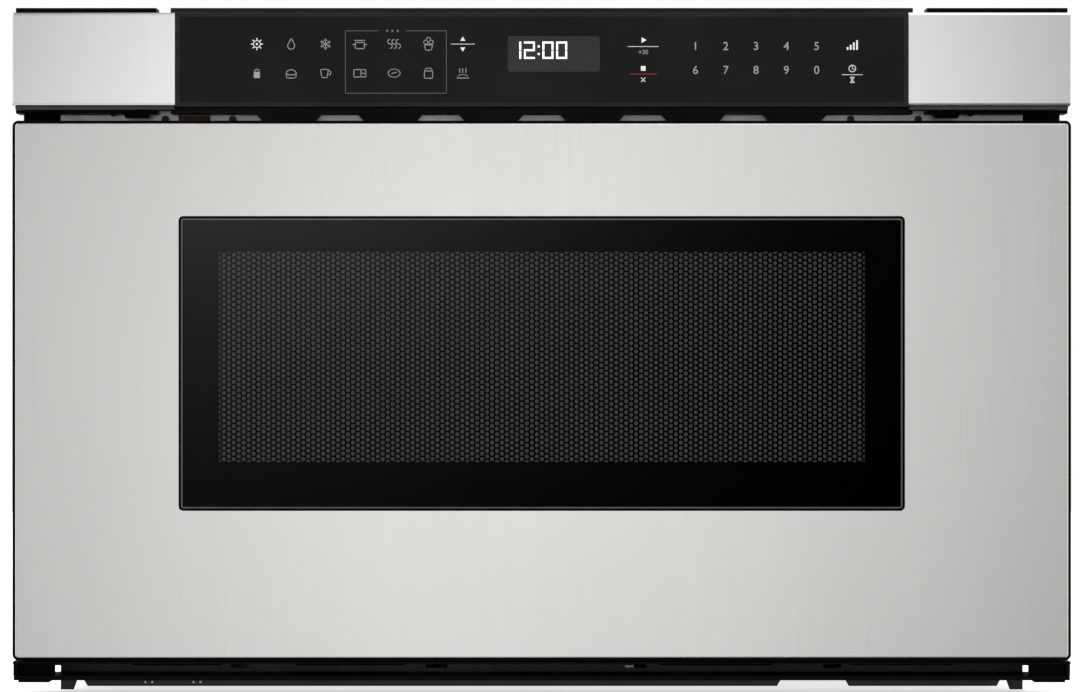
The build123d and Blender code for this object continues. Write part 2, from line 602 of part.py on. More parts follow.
FRONT_SCREW_OUT = 4.7       # outer screws outside the housing's edge
FRONT_SCREW_IN = 34.5       # inner screws inside it
FRONT_SCREWS = [
    (sign * (HOUSING_HALF + offset), (FRONT_TOP + BRACKET_BOTTOM) / 2)
    for side, sign in SIDES
    for offset in (-FRONT_SCREW_IN, FRONT_SCREW_OUT)
]
FRONT_SCREW_HEAD = 2.2
FRONT_SCREW_HEAD_TALL = 1.6
FRONT_SCREW_RADIUS = 1.4
FRONT_SCREW_LENGTH = 5.0
RAIL_SLOT_INSIDE = RAIL_OUTSIDE - 2 * RAIL_STEP - RAIL_DEPTH + RAIL
RAIL_SLOT_OUTSIDE = RAIL_OUTSIDE - RAIL_STEP + 2 * RAIL_CLEARANCE
with BuildPart() as front_plate:
    with BuildSketch(across(CHASSIS_FRONT)):
        with Locations((0, (SPLIT_HEIGHT + CHASSIS_TOP) / 2)):
            Rectangle(CHASSIS_WIDTH, CHASSIS_TOP - SPLIT_HEIGHT)
        with Locations((0, (CAVITY_BOTTOM + CAVITY_TOP) / 2)):
            Rectangle(2 * CAVITY_HALF, CAVITY_HEIGHT, mode=Mode.SUBTRACT)
        for side, sign in SIDES:
            with Locations((sign * (RAIL_SLOT_INSIDE + RAIL_SLOT_OUTSIDE) / 2, RAIL_MIDDLE)):
                Rectangle(
                    RAIL_SLOT_OUTSIDE - RAIL_SLOT_INSIDE,
                    RAIL_HEIGHT - 2 * RAIL_STEP + 4 * RAIL_CLEARANCE,
                    mode=Mode.SUBTRACT,
                )
        with Locations((0, (PITCH_LINE - ADDENDUM + RACK_TOP) / 2)):
            Rectangle(
                RACK_WIDTH + 2 * SLOT_CLEARANCE,
                RACK_TOP - PITCH_LINE + ADDENDUM + 2 * SLOT_CLEARANCE,
                mode=Mode.SUBTRACT,
            )
        for height in HOOK_HEIGHTS:
            with Locations((HOOK_X, height)):
                Rectangle(
                    HOOK_WIDTH + 2 * SLOT_CLEARANCE,
                    HOOK_TALL + 2 * SLOT_CLEARANCE,
                    mode=Mode.SUBTRACT,
                )
        with Locations(*FRONT_SCREWS):
            Circle(FRONT_SCREW_RADIUS + FIT, mode=Mode.SUBTRACT)
    extrude(amount=-SHEET)
front_plate.part.label = "front_plate"
export_step(front_plate.part, "parts/front_plate.step")

CAVITY_LENGTH = CAVITY_BACK - PLATE_BACK
WALL_FLANGE = 10.0
for side, sign in SIDES:
    with BuildPart() as cavity_wall:
        with BuildSketch(across(PLATE_BACK)):
            with Locations((sign * (CAVITY_HALF + SHEET / 2), (CAVITY_BOTTOM + CAVITY_TOP) / 2)):
                Rectangle(SHEET, CAVITY_HEIGHT + 2 * SHEET)
        extrude(amount=-CAVITY_LENGTH)
        with BuildSketch(across(PLATE_BACK)):
            with Locations((sign * (CAVITY_HALF + WALL_FLANGE / 2), (CAVITY_BOTTOM + CAVITY_TOP) / 2)):
                Rectangle(WALL_FLANGE, CAVITY_HEIGHT + 2 * SHEET)
        extrude(amount=-SHEET)
    cavity_wall.part.label = f"cavity_wall_{side}"
    export_step(cavity_wall.part, f"parts/cavity_wall_{side}.step")

with BuildPart() as cavity_floor:
    with BuildSketch(Plane.XY.offset(CAVITY_BOTTOM - SHEET)):
        with Locations((0, CAVITY_MIDDLE)):
            Rectangle(2 * CAVITY_HALF, CAVITY_LENGTH)
    extrude(amount=SHEET)
cavity_floor.part.label = "cavity_floor"
export_step(cavity_floor.part, "parts/cavity_floor.step")

with BuildPart() as cavity_ceiling:
    with BuildSketch(Plane.XY.offset(CAVITY_TOP)):
        with Locations((0, CAVITY_MIDDLE)):
            Rectangle(2 * CAVITY_HALF, CAVITY_LENGTH)
            Circle(STIRRER_OPENING, mode=Mode.SUBTRACT)
    extrude(amount=SHEET)
cavity_ceiling.part.label = "cavity_ceiling"
export_step(cavity_ceiling.part, "parts/cavity_ceiling.step")

with BuildPart() as cavity_back_wall:
    with BuildSketch(across(CAVITY_BACK)):
        with Locations((0, (CAVITY_BOTTOM + CAVITY_TOP) / 2)):
            Rectangle(2 * CAVITY_HALF + 2 * SHEET, CAVITY_HEIGHT + 2 * SHEET)
    extrude(amount=-SHEET)
cavity_back_wall.part.label = "cavity_back_wall"
export_step(cavity_back_wall.part, "parts/cavity_back_wall.step")

# ---------------------------------------------------------------- microwave parts

MICA = 0.6
COVER_LAP = 6.0             # the cover laps the ceiling's opening by this much
COVER_CORNER = 8.0
with BuildPart() as waveguide_cover:
    with BuildSketch(Plane.XY.offset(CAVITY_TOP - MICA)):
        with Locations((0, CAVITY_MIDDLE)):
            RectangleRounded(
                2 * (STIRRER_OPENING + COVER_LAP), 2 * (STIRRER_OPENING + COVER_LAP), COVER_CORNER
            )
    extrude(amount=MICA)
waveguide_cover.part.label = "waveguide_cover"
export_step(waveguide_cover.part, "parts/waveguide_cover.step")

GUIDE_TOP = CEILING_TOP + GUIDE_HEIGHT
GUIDE_PAST = 34.0           # the guide runs on behind the magnetron's antenna
GUIDE_END = MAGNETRON_Y + GUIDE_PAST
ANTENNA_RADIUS = 8.0
SHAFT_HOLE = SHAFT_RADIUS + 1
with BuildPart() as waveguide:
    with BuildSketch(Plane.XY.offset(CEILING_TOP)):
        with Locations((0, CAVITY_MIDDLE)):
            Rectangle(DOME_WIDTH, DOME_WIDTH)
        with Locations((0, (CAVITY_MIDDLE + GUIDE_END) / 2)):
            Rectangle(GUIDE_WIDTH, GUIDE_END - CAVITY_MIDDLE)
    extrude(amount=GUIDE_HEIGHT)
    with BuildSketch(Plane.XY.offset(CEILING_TOP)):
        with Locations((0, CAVITY_MIDDLE)):
            Rectangle(DOME_WIDTH - 2 * SHEET, DOME_WIDTH - 2 * SHEET)
    extrude(amount=GUIDE_HEIGHT - SHEET, mode=Mode.SUBTRACT)
    with BuildSketch(Plane.XY.offset(CEILING_TOP + SHEET)):
        with Locations((0, (CAVITY_MIDDLE + GUIDE_END) / 2 - SHEET / 2)):
            Rectangle(GUIDE_WIDTH - 2 * SHEET, GUIDE_END - CAVITY_MIDDLE - SHEET)
    extrude(amount=GUIDE_HEIGHT - 2 * SHEET, mode=Mode.SUBTRACT)
    with BuildSketch(Plane.XY.offset(CEILING_TOP)):
        with Locations((0, MAGNETRON_Y)):
            Circle(2 * ANTENNA_RADIUS)
    extrude(amount=SHEET, mode=Mode.SUBTRACT)
    with BuildSketch(Plane.XY.offset(GUIDE_TOP - SHEET)):
        with Locations((0, CAVITY_MIDDLE)):
            Circle(SHAFT_HOLE)
    extrude(amount=SHEET, mode=Mode.SUBTRACT)
waveguide.part.label = "waveguide"
export_step(waveguide.part, "parts/waveguide.step")

# Magnetron: core with cooling fins inside a bent yoke, under the guide's rear end.
YOKE_WIDTH = 84.0
YOKE_DEEP = 66.0
YOKE_TALL = 84.0
YOKE = 2.0                  # sheet of the yoke and of its flange
YOKE_CORNER = 3.0
CORE_RADIUS = 21.0
FIN_COUNT = 9
FIN = 0.8
FIN_PITCH = 7.0
FIN_START = 10.0            # lowest fin above the yoke's floor
FIN_SET = 3.0               # the fins stand back from the yoke's open ends
ANTENNA_LENGTH = 22.0
FILTER_BOX = (44.0, 40.0, 22.0)
YOKE_BOTTOM = CEILING_TOP - YOKE - YOKE_TALL
with BuildPart() as magnetron:
    with BuildSketch(Plane.XY.offset(CEILING_TOP - YOKE)):
        with Locations((0, MAGNETRON_Y)):
            RectangleRounded(GUIDE_WIDTH, YOKE_DEEP, YOKE_CORNER)
    extrude(amount=YOKE)
    with BuildSketch(across(MAGNETRON_Y - YOKE_DEEP / 2)):
        with Locations((0, YOKE_BOTTOM + YOKE_TALL / 2)):
            RectangleRounded(YOKE_WIDTH, YOKE_TALL, YOKE_CORNER)
            Rectangle(YOKE_WIDTH - 2 * YOKE, YOKE_TALL - 2 * YOKE, mode=Mode.SUBTRACT)
    extrude(amount=-YOKE_DEEP)
    with BuildSketch(Plane.XY.offset(YOKE_BOTTOM)):
        with Locations((0, MAGNETRON_Y)):
            Circle(CORE_RADIUS)
    extrude(amount=YOKE_TALL)
    for index in range(FIN_COUNT):
        with BuildSketch(Plane.XY.offset(YOKE_BOTTOM + YOKE + FIN_START + index * FIN_PITCH)):
            with Locations((0, MAGNETRON_Y)):
                Rectangle(YOKE_WIDTH - 2 * YOKE, YOKE_DEEP - 2 * FIN_SET)
        extrude(amount=FIN)
    with BuildSketch(Plane.XY.offset(CEILING_TOP)):
        with Locations((0, MAGNETRON_Y)):
            Circle(ANTENNA_RADIUS)
    extrude(amount=ANTENNA_LENGTH)
    fillet(magnetron.faces().sort_by(Axis.Z)[-1].edges(), ANTENNA_RADIUS / 3)
    with BuildSketch(Plane.XY.offset(YOKE_BOTTOM - FILTER_BOX[2])):
        with Locations((0, MAGNETRON_Y)):
            Rectangle(FILTER_BOX[0], FILTER_BOX[1])
    extrude(amount=FILTER_BOX[2])
magnetron.part.label = "magnetron"
export_step(magnetron.part, "parts/magnetron.step")

# Stirrer: a flat fan on a shaft that turns in the motor above the guide.
BLADE_GAP = 9.0             # underside of the blades above the ceiling
BLADE = 1.5
BLADE_WIDTH = 26.0
STIRRER_HUB = 18.0
STIRRER_SEAT = 12.0         # length of the shaft inside the motor
BLADE_HEIGHT = CEILING_TOP + BLADE_GAP
with BuildPart() as stirrer:
    with BuildSketch(Plane.XY.offset(BLADE_HEIGHT)):
        with Locations((0, CAVITY_MIDDLE)):
            Circle(STIRRER_HUB)
            with PolarLocations(STIRRER_RADIUS / 2, 4):
                SlotOverall(STIRRER_RADIUS, BLADE_WIDTH)
    extrude(amount=BLADE)
    with BuildSketch(Plane.XY.offset(BLADE_HEIGHT)):
        with Locations((0, CAVITY_MIDDLE)):
            Circle(SHAFT_RADIUS)
    extrude(amount=GUIDE_TOP + STIRRER_SEAT - BLADE_HEIGHT)
stirrer.part.label = "stirrer"
export_step(stirrer.part, "parts/stirrer.step")

STIRRER_CAN = 24.0          # radius of the motor's can
STIRRER_CAN_TALL = 16.0
STIRRER_EARS = 68.0
STIRRER_EAR_WIDTH = 12.0
STIRRER_PLATE = 2.0
with BuildPart() as stirrer_motor:
    with BuildSketch(Plane.XY.offset(GUIDE_TOP)):
        with Locations((0, CAVITY_MIDDLE)):
            Circle(STIRRER_CAN + STIRRER_PLATE / 2)
            SlotOverall(STIRRER_EARS, STIRRER_EAR_WIDTH)
    extrude(amount=STIRRER_PLATE)
    with BuildSketch(Plane.XY.offset(GUIDE_TOP + STIRRER_PLATE)):
        with Locations((0, CAVITY_MIDDLE)):
            Circle(STIRRER_CAN)
    extrude(amount=STIRRER_CAN_TALL)
    fillet(stirrer_motor.faces().sort_by(Axis.Z)[-1].edges(), STIRRER_PLATE)
    with BuildSketch(Plane.XY.offset(GUIDE_TOP)):
        with Locations((0, CAVITY_MIDDLE)):
            Circle(SHAFT_RADIUS + RUNNING)
    extrude(amount=STIRRER_SEAT + BEARING_END, mode=Mode.SUBTRACT)
stirrer_motor.part.label = "stirrer_motor"
export_step(stirrer_motor.part, "parts/stirrer_motor.step")

CAPACITOR_INSET = 72.5      # its middle inside the chassis's side
CAPACITOR_WIDTH = 56.0
CAPACITOR_DEEP = 34.0
CAPACITOR_TALL = 92.0
TERMINAL_PITCH = 26.0
TERMINAL_WIDTH = 6.3
TERMINAL = 0.8
TERMINAL_TALL = 9.0
DIODE_RADIUS = 3.5          # the diode lies on the capacitor, between its terminals
DIODE_LENGTH = 20.0
DIODE_SINK = 1.0
CAPACITOR_X = CHASSIS_HALF - CAPACITOR_INSET
with BuildPart() as hv_capacitor:
    with BuildSketch(Plane.XY.offset(PAN_TOP)):
        with Locations((CAPACITOR_X, MAGNETRON_Y)):
            SlotOverall(CAPACITOR_WIDTH, CAPACITOR_DEEP)
    extrude(amount=CAPACITOR_TALL)
    fillet(hv_capacitor.faces().sort_by(Axis.Z)[-1].edges(), 2 * DIODE_SINK)
    with BuildSketch(Plane.XY.offset(PAN_TOP + CAPACITOR_TALL)):
        with Locations((CAPACITOR_X, MAGNETRON_Y)):
            with GridLocations(TERMINAL_PITCH, 0, 2, 1):
                Rectangle(TERMINAL_WIDTH, TERMINAL)
    extrude(amount=TERMINAL_TALL)
    with BuildSketch(Plane.YZ.offset(CAPACITOR_X - DIODE_LENGTH / 2)):
        with Locations((MAGNETRON_Y, PAN_TOP + CAPACITOR_TALL + DIODE_RADIUS - DIODE_SINK)):
            Circle(DIODE_RADIUS)
    extrude(amount=DIODE_LENGTH)
hv_capacitor.part.label = "hv_capacitor"
export_step(hv_capacitor.part, "parts/hv_capacitor.step")

# Transformer: a stack of core sheets on its foot, with two coils around the stack.
TRANSFORMER_GAP = 6.0       # transformer's foot to the capacitor
CORE_WIDTH = 98.0
CORE_DEEP = 52.0
CORE_TALL = 84.0
CORE_FOOT = 2.0
CORE_FOOT_SIDE = 12.0       # the foot stands out beside the core by this much
CORE_FOOT_END = 6.0
COIL_WIDTH = 62.0
COILS = ((16.0, 28.0, 18.0), (50.0, 22.0, 20.0))    # height, length, stand-out of each coil
COIL_CORNER = 14.0
TRANSFORMER_X = (
    CAPACITOR_X - CAPACITOR_WIDTH / 2 - TRANSFORMER_GAP - CORE_WIDTH / 2 - CORE_FOOT_SIDE
)
with BuildPart() as hv_transformer:
    with BuildSketch(Plane.XY.offset(PAN_TOP)):
        with Locations((TRANSFORMER_X, MAGNETRON_Y)):
            Rectangle(CORE_WIDTH + 2 * CORE_FOOT_SIDE, CORE_DEEP + 2 * CORE_FOOT_END)
    extrude(amount=CORE_FOOT)
    with BuildSketch(Plane.XY.offset(PAN_TOP + CORE_FOOT)):
        with Locations((TRANSFORMER_X, MAGNETRON_Y)):
            Rectangle(CORE_WIDTH, CORE_DEEP)
    extrude(amount=CORE_TALL)
    for height, length, stand in COILS:
        with BuildSketch(Plane.XY.offset(PAN_TOP + height)):
            with Locations((TRANSFORMER_X, MAGNETRON_Y)):
                RectangleRounded(COIL_WIDTH, CORE_DEEP + 2 * stand, COIL_CORNER)
        extrude(amount=length)
hv_transformer.part.label = "hv_transformer"
export_step(hv_transformer.part, "parts/hv_transformer.step")

LAMP_DROP = 40.0            # lamp's middle below the cavity's ceiling
LAMP_PLATE_WIDTH = 50.0
LAMP_PLATE_TALL = 44.0
LAMP_PLATE = 1.5
LAMP_RADIUS = 15.0
LAMP_LENGTH = 30.0
LAMP_EDGE = 2.0
with BuildPart() as cavity_lamp:
    with BuildSketch(Plane.YZ.offset(CAVITY_HALF + SHEET)):
        with Locations((CAVITY_MIDDLE, CAVITY_TOP - LAMP_DROP)):
            RectangleRounded(LAMP_PLATE_WIDTH, LAMP_PLATE_TALL, LAMP_EDGE)
    extrude(amount=LAMP_PLATE)
    with BuildSketch(Plane.YZ.offset(CAVITY_HALF + SHEET)):
        with Locations((CAVITY_MIDDLE, CAVITY_TOP - LAMP_DROP)):
            Circle(LAMP_RADIUS)
    extrude(amount=LAMP_LENGTH)
    fillet(cavity_lamp.faces().sort_by(Axis.X)[-1].edges(), LAMP_EDGE)
cavity_lamp.part.label = "cavity_lamp"
export_step(cavity_lamp.part, "parts/cavity_lamp.step")

# ---------------------------------------------------------------- cooling fan

FAN_X = -100.0
FAN_DROP = 54.2             # fan's middle below the top of the cavity's ceiling
FAN_OPENING = 44.0
FAN_FRAME = 7.0             # the plate stands above and below the opening by this much
FAN_PLATE = 1.5
FAN_RING = 2.0
FAN_DEEP = 30.0
BAR = 3.0
BAR_WIDTH = 12.0
FAN_Z = CEILING_TOP - FAN_DROP
FAN_MIDDLE_Y = (CAVITY_BACK + SHEET + REAR) / 2
FAN_PLANE = Plane(origin=(FAN_X, FAN_MIDDLE_Y, FAN_Z), x_dir=(0, 1, 0), z_dir=(1, 0, 0))
with BuildPart() as fan_housing:
    with BuildSketch(FAN_PLANE):
        Rectangle(REAR - CAVITY_BACK - SHEET, 2 * (FAN_OPENING + FAN_FRAME))
        Circle(FAN_OPENING, mode=Mode.SUBTRACT)
    extrude(amount=FAN_PLATE)
    with BuildSketch(FAN_PLANE):
        Circle(FAN_OPENING + FAN_RING)
        Circle(FAN_OPENING, mode=Mode.SUBTRACT)
    extrude(amount=FAN_DEEP)
    with BuildSketch(FAN_PLANE.offset(-BAR)):
        Rectangle(BAR_WIDTH, 2 * (FAN_OPENING + FAN_FRAME))
        Circle(SHAFT_HOLE, mode=Mode.SUBTRACT)
    extrude(amount=BAR)
fan_housing.part.label = "fan_housing"
export_step(fan_housing.part, "parts/fan_housing.step")

FAN_MOTOR_RADIUS = 24.0
FAN_MOTOR_LENGTH = 30.0
FAN_MOTOR_EDGE = 3.0
FAN_SEAT = 14.0             # length of the wheel's shaft inside the motor
with BuildPart() as fan_motor:
    with BuildSketch(FAN_PLANE.offset(-BAR)):
        Circle(FAN_MOTOR_RADIUS)
    extrude(amount=-FAN_MOTOR_LENGTH)
    fillet(fan_motor.faces().sort_by(Axis.X)[0].edges(), FAN_MOTOR_EDGE)
    with BuildSketch(FAN_PLANE.offset(-BAR)):
        Circle(SHAFT_RADIUS + RUNNING)
    extrude(amount=-(FAN_SEAT + BEARING_END), mode=Mode.SUBTRACT)
fan_motor.part.label = "fan_motor"
export_step(fan_motor.part, "parts/fan_motor.step")

BLADE_COUNT = 5
BLADE_TURN = 38.0           # the blades' angle to the wheel's plane
BLADE_CHORD = 22.0
FAN_BLADE = 1.6
BLADE_ROOT = 13.0           # the blades start this far from the shaft, inside the hub
BLADE_CLEARANCE = 2.5
HUB_RADIUS = 14.0
HUB_LENGTH = 20.0
HUB_SET = 4.0
with BuildPart() as fan_wheel:
    with BuildSketch(FAN_PLANE.offset(HUB_SET)):
        Circle(HUB_RADIUS)
    extrude(amount=HUB_LENGTH)
    with BuildSketch(FAN_PLANE.offset(HUB_SET)):
        Circle(SHAFT_RADIUS)
    extrude(amount=-(HUB_SET + BAR + FAN_SEAT))
    for index in range(BLADE_COUNT):
        hub_plane = FAN_PLANE.offset(HUB_SET + HUB_LENGTH / 2)
        blade_plane = hub_plane.rotated((0, 0, index * 360 / BLADE_COUNT))
        root_plane = Plane(
            origin=blade_plane.origin + blade_plane.y_dir * BLADE_ROOT,
            x_dir=blade_plane.x_dir.rotate(Axis((0, 0, 0), blade_plane.y_dir), BLADE_TURN),
            z_dir=blade_plane.y_dir,
        )
        with BuildSketch(root_plane):
            SlotOverall(BLADE_CHORD, FAN_BLADE)
        extrude(amount=FAN_OPENING - BLADE_ROOT - BLADE_CLEARANCE)
fan_wheel.part.label = "fan_wheel"
export_step(fan_wheel.part, "parts/fan_wheel.step")

# ---------------------------------------------------------------- mains filter

FILTER_INSET = 74.5         # its middle inside the chassis's side
FILTER_WIDTH = 84.0
FILTER_DEEP = 66.0
FILTER_BOARD = 1.6
POST_INSET = 5.0
POST_RADIUS = 3.0
STANDOFF = 8.0
CHOKE_COIL = 13.0           # radius of the filter's coil
CHOKE_COIL_TALL = 20.0
FILTER_BLOCK = (26.0, 12.0, 16.0)
FILTER_BLOCK_PITCH = 22.0
FUSE = (32.0, 7.0, 8.0)
FILTER_X = FILTER_INSET - CHASSIS_HALF
FILTER_TOP = PAN_TOP + STANDOFF + FILTER_BOARD
with BuildPart() as line_filter_board:
    with BuildSketch(Plane.XY.offset(PAN_TOP + STANDOFF)):
        with Locations((FILTER_X, MAGNETRON_Y)):
            Rectangle(FILTER_WIDTH, FILTER_DEEP)
    extrude(amount=FILTER_BOARD)
    with BuildSketch(Plane.XY.offset(PAN_TOP)):
        with Locations((FILTER_X, MAGNETRON_Y)):
            with GridLocations(FILTER_WIDTH - 2 * POST_INSET, FILTER_DEEP - 2 * POST_INSET, 2, 2):
                Circle(POST_RADIUS)
    extrude(amount=STANDOFF)
    with BuildSketch(Plane.XY.offset(FILTER_TOP)):
        with Locations((FILTER_X + FILTER_WIDTH / 4, MAGNETRON_Y + FILTER_DEEP / 6)):
            Circle(CHOKE_COIL)
    extrude(amount=CHOKE_COIL_TALL)
    with BuildSketch(Plane.XY.offset(FILTER_TOP)):
        with Locations((FILTER_X - FILTER_WIDTH / 4, MAGNETRON_Y)):
            with GridLocations(0, FILTER_BLOCK_PITCH, 1, 2):
                Rectangle(FILTER_BLOCK[0], FILTER_BLOCK[1])
    extrude(amount=FILTER_BLOCK[2])
    with BuildSketch(Plane.XY.offset(FILTER_TOP)):
        with Locations((FILTER_X + FILTER_WIDTH / 5, MAGNETRON_Y - FILTER_DEEP / 3)):
            SlotOverall(FUSE[0], FUSE[1])
    extrude(amount=FUSE[2])
line_filter_board.part.label = "line_filter_board"
export_step(line_filter_board.part, "parts/line_filter_board.step")

# ---------------------------------------------------------------- interlock switches

SWITCH_WIDTH = 10.0
SWITCH_TALL = 30.0
SWITCH_DEEP = 18.0
PLUNGER_RADIUS = 2.0
PLUNGER_SHOWS = 3.6
PLUNGER_TRAVEL = 1.5
PLUNGER_GAP = 0.4
HOOK_END = CHOKE_BACK + HOOK_LENGTH
SWITCH_FRONT = HOOK_END + PLUNGER_GAP + PLUNGER_SHOWS
PLUNGER_BORE = 9.0
PLUNGER_ROOM = 0.5          # room behind a pressed plunger
LEG = 5.0
with BuildPart() as interlock_switches:
    for height in HOOK_HEIGHTS:
        with BuildSketch(across(SWITCH_FRONT)):
            with Locations((HOOK_X, height)):
                Rectangle(SWITCH_WIDTH, SWITCH_TALL)
        extrude(amount=-SWITCH_DEEP)
        with BuildSketch(across(PLATE_BACK)):
            with Locations((HOOK_X, height)):
                with GridLocations(0, SWITCH_TALL - LEG, 1, 2):
                    Rectangle(SWITCH_WIDTH, LEG)
        extrude(amount=-(SWITCH_FRONT - PLATE_BACK))
        with BuildSketch(across(SWITCH_FRONT)):
            with Locations((HOOK_X, height)):
                Circle(PLUNGER_RADIUS + RUNNING)
        extrude(amount=-PLUNGER_BORE, mode=Mode.SUBTRACT)
interlock_switches.part.label = "interlock_switches"
export_step(interlock_switches.part, "parts/interlock_switches.step")

with BuildPart() as switch_plungers:
    for height in HOOK_HEIGHTS:
        with BuildSketch(across(SWITCH_FRONT - PLUNGER_SHOWS)):
            with Locations((HOOK_X, height)):
                Circle(PLUNGER_RADIUS)
        extrude(amount=-(PLUNGER_SHOWS + PLUNGER_BORE - PLUNGER_TRAVEL - PLUNGER_ROOM))
switch_plungers.part.label = "switch_plungers"
export_step(switch_plungers.part, "parts/switch_plungers.step")

# ---------------------------------------------------------------- base

FOOT_RADIUS = 13.0
FOOT_TAPER = 22.0
FOOT_SIDE = 54.5            # middle of each foot inside the chassis's side
FOOT_FRONT = 53.8           # front feet behind the front plate
FOOT_REAR = 78.9            # rear feet in front of the rear cover
FEET = [
    (sign * (CHASSIS_HALF - FOOT_SIDE), depth)
    for side, sign in SIDES
    for depth in (PLATE_BACK + FOOT_FRONT, REAR - FOOT_REAR)
]
with BuildPart() as base_pan:
    with BuildSketch(Plane.XY.offset(PAN_HEIGHT)):
        with Locations((0, (PLATE_BACK + REAR) / 2)):
            Rectangle(CHASSIS_WIDTH - 2 * SHEET, REAR - PLATE_BACK)
    extrude(amount=SHEET)
    with BuildSketch(Plane.XY.offset(PAN_TOP)):
        for side, sign in SIDES:
            with Locations((sign * (CHASSIS_HALF - 1.5 * SHEET), (PLATE_BACK + REAR) / 2)):
                Rectangle(SHEET, REAR - PLATE_BACK)
    extrude(amount=PAN_FLANGE - SHEET)
    with BuildSketch(Plane.XY):
        with Locations(*FEET):
            Circle(FOOT_RADIUS)
    extrude(amount=PAN_HEIGHT, taper=-FOOT_TAPER)
    with BuildSketch(Plane.XY.offset(SHEET)):
        with Locations(*FEET):
            Circle(FOOT_RADIUS - SHEET / 2)
    extrude(amount=PAN_HEIGHT, taper=-FOOT_TAPER, mode=Mode.SUBTRACT)
base_pan.part.label = "base_pan"
export_step(base_pan.part, "parts/base_pan.step")

# Front panel of the base: cups and holes along it, lips and two tabs at its foot.
LIP_BOTTOM = 2.0
LIP_TOP = 8.0
TAB_WIDTH = 7.5
TAB_SLOPE = 3.0
CUP_TOP = 17.5
CUP_DROP = 3.5
VENT_HOLE_RADIUS = 3.0
SIDE_OPENING_TALL = 6.0
# Places across the panel, as shares of half the chassis's width: middles of the holes,
# middles and widths of the side openings, and both ends of each lip and cup.
VENT_HOLES = (-0.1850, -0.1420, -0.0984, -0.0547, 0.0, 0.0558, 0.1002, 0.1431)
SIDE_OPENINGS = ((-0.6272, 0.0372), (-0.2182, 0.0444), (0.1953, 0.0440), (0.6043, 0.0376))
LIP_ENDS = ((-0.9567, 0.5016), (0.6261, 0.9581))
CUP_ENDS = ((-0.8658, -0.6494), (-0.5259, -0.2712), (0.2290, 0.4945), (0.6233, 0.8708))
LIPS = [(start * CHASSIS_HALF, end * CHASSIS_HALF) for start, end in LIP_ENDS]
CUPS = [(start * CHASSIS_HALF, end * CHASSIS_HALF) for start, end in CUP_ENDS]
with BuildPart() as base_front_panel:
    with BuildSketch(across(CHASSIS_FRONT)):
        with Locations((0, (LIP_TOP + SPLIT_HEIGHT) / 2)):
            Rectangle(CHASSIS_WIDTH, SPLIT_HEIGHT - LIP_TOP)
        for start, end in LIPS:
            with Locations(((start + end) / 2, (LIP_BOTTOM + LIP_TOP) / 2)):
                Trapezoid(end - start, LIP_TOP - LIP_BOTTOM, 60, rotation=180)
        for side, sign in SIDES:
            with BuildLine():
                Polyline(
                    (sign * (CHASSIS_HALF - TAB_WIDTH - TAB_SLOPE), LIP_TOP),
                    (sign * (CHASSIS_HALF - TAB_WIDTH), 0),
                    (sign * CHASSIS_HALF, 0),
                    (sign * CHASSIS_HALF, LIP_TOP),
                    close=True,
                )
            make_face()
        for start, end in CUPS:
            with Locations(((start + end) / 2, CUP_TOP - CUP_DROP / 2)):
                Trapezoid(end - start, CUP_DROP, 35, rotation=180, mode=Mode.SUBTRACT)
        for middle in VENT_HOLES:
            with Locations((middle * CHASSIS_HALF, CUP_TOP)):
                Circle(VENT_HOLE_RADIUS, mode=Mode.SUBTRACT)
        for middle, width in SIDE_OPENINGS:
            with Locations((middle * CHASSIS_HALF, CUP_TOP - SIDE_OPENING_TALL / 3)):
                Rectangle(width * CHASSIS_HALF, SIDE_OPENING_TALL, mode=Mode.SUBTRACT)
    extrude(amount=-SHEET)
base_front_panel.part.label = "base_front_panel"
export_step(base_front_panel.part, "parts/base_front_panel.step")

# Black channel under the drawer front, open to the front, closed beside the chassis.
TRIM_BOTTOM = TRIM_TOP - TRIM_HEIGHT
TRIM_FRONT = FRONT + TRIM_SET
TRIM_DEEP = CHASSIS_FRONT - TRIM_FRONT
PAD_WIDTH = 17.7
PAD_INSET = 11.6            # a pad's middle inside the end of the trim
PAD_DROP = 1.5
PAD_SHORTER = 8.0           # the pads are this much shorter than the trim is deep
TRIM_END = 2.0              # the web stops this far inside the end of the trim
LIP_SHORTER = 0.6           # and the lower flange this far
TRIM_WEB_START = CHASSIS_HALF + SHEET / 2
TRIM_WEB_END = FACE_HALF - TRIM_END
with BuildPart() as bottom_trim:
    with BuildSketch(across(TRIM_FRONT)):
        with Locations((0, TRIM_TOP - TRIM_FLANGE / 2)):
            Rectangle(FACE_WIDTH, TRIM_FLANGE)
        with Locations((0, TRIM_BOTTOM + TRIM_LIP / 2)):
            Rectangle(FACE_WIDTH - 2 * LIP_SHORTER, TRIM_LIP)
    extrude(amount=-TRIM_DEEP)
    with BuildSketch(across(TRIM_FRONT + TRIM_WEB_SET)):
        for side, sign in SIDES:
            with Locations((sign * (TRIM_WEB_START + TRIM_WEB_END) / 2, (TRIM_TOP + TRIM_BOTTOM) / 2)):
                Rectangle(TRIM_WEB_END - TRIM_WEB_START, TRIM_HEIGHT)
    extrude(amount=-SHEET)
    with BuildSketch(Plane.XY.offset(TRIM_BOTTOM - PAD_DROP)):
        for side, sign in SIDES:
            with Locations((sign * (FACE_HALF - PAD_INSET), TRIM_FRONT + TRIM_DEEP / 2)):
                Rectangle(PAD_WIDTH, TRIM_DEEP - PAD_SHORTER)
    extrude(amount=PAD_DROP)
bottom_trim.part.label = "bottom_trim"
export_step(bottom_trim.part, "parts/bottom_trim.step")

# ---------------------------------------------------------------- case

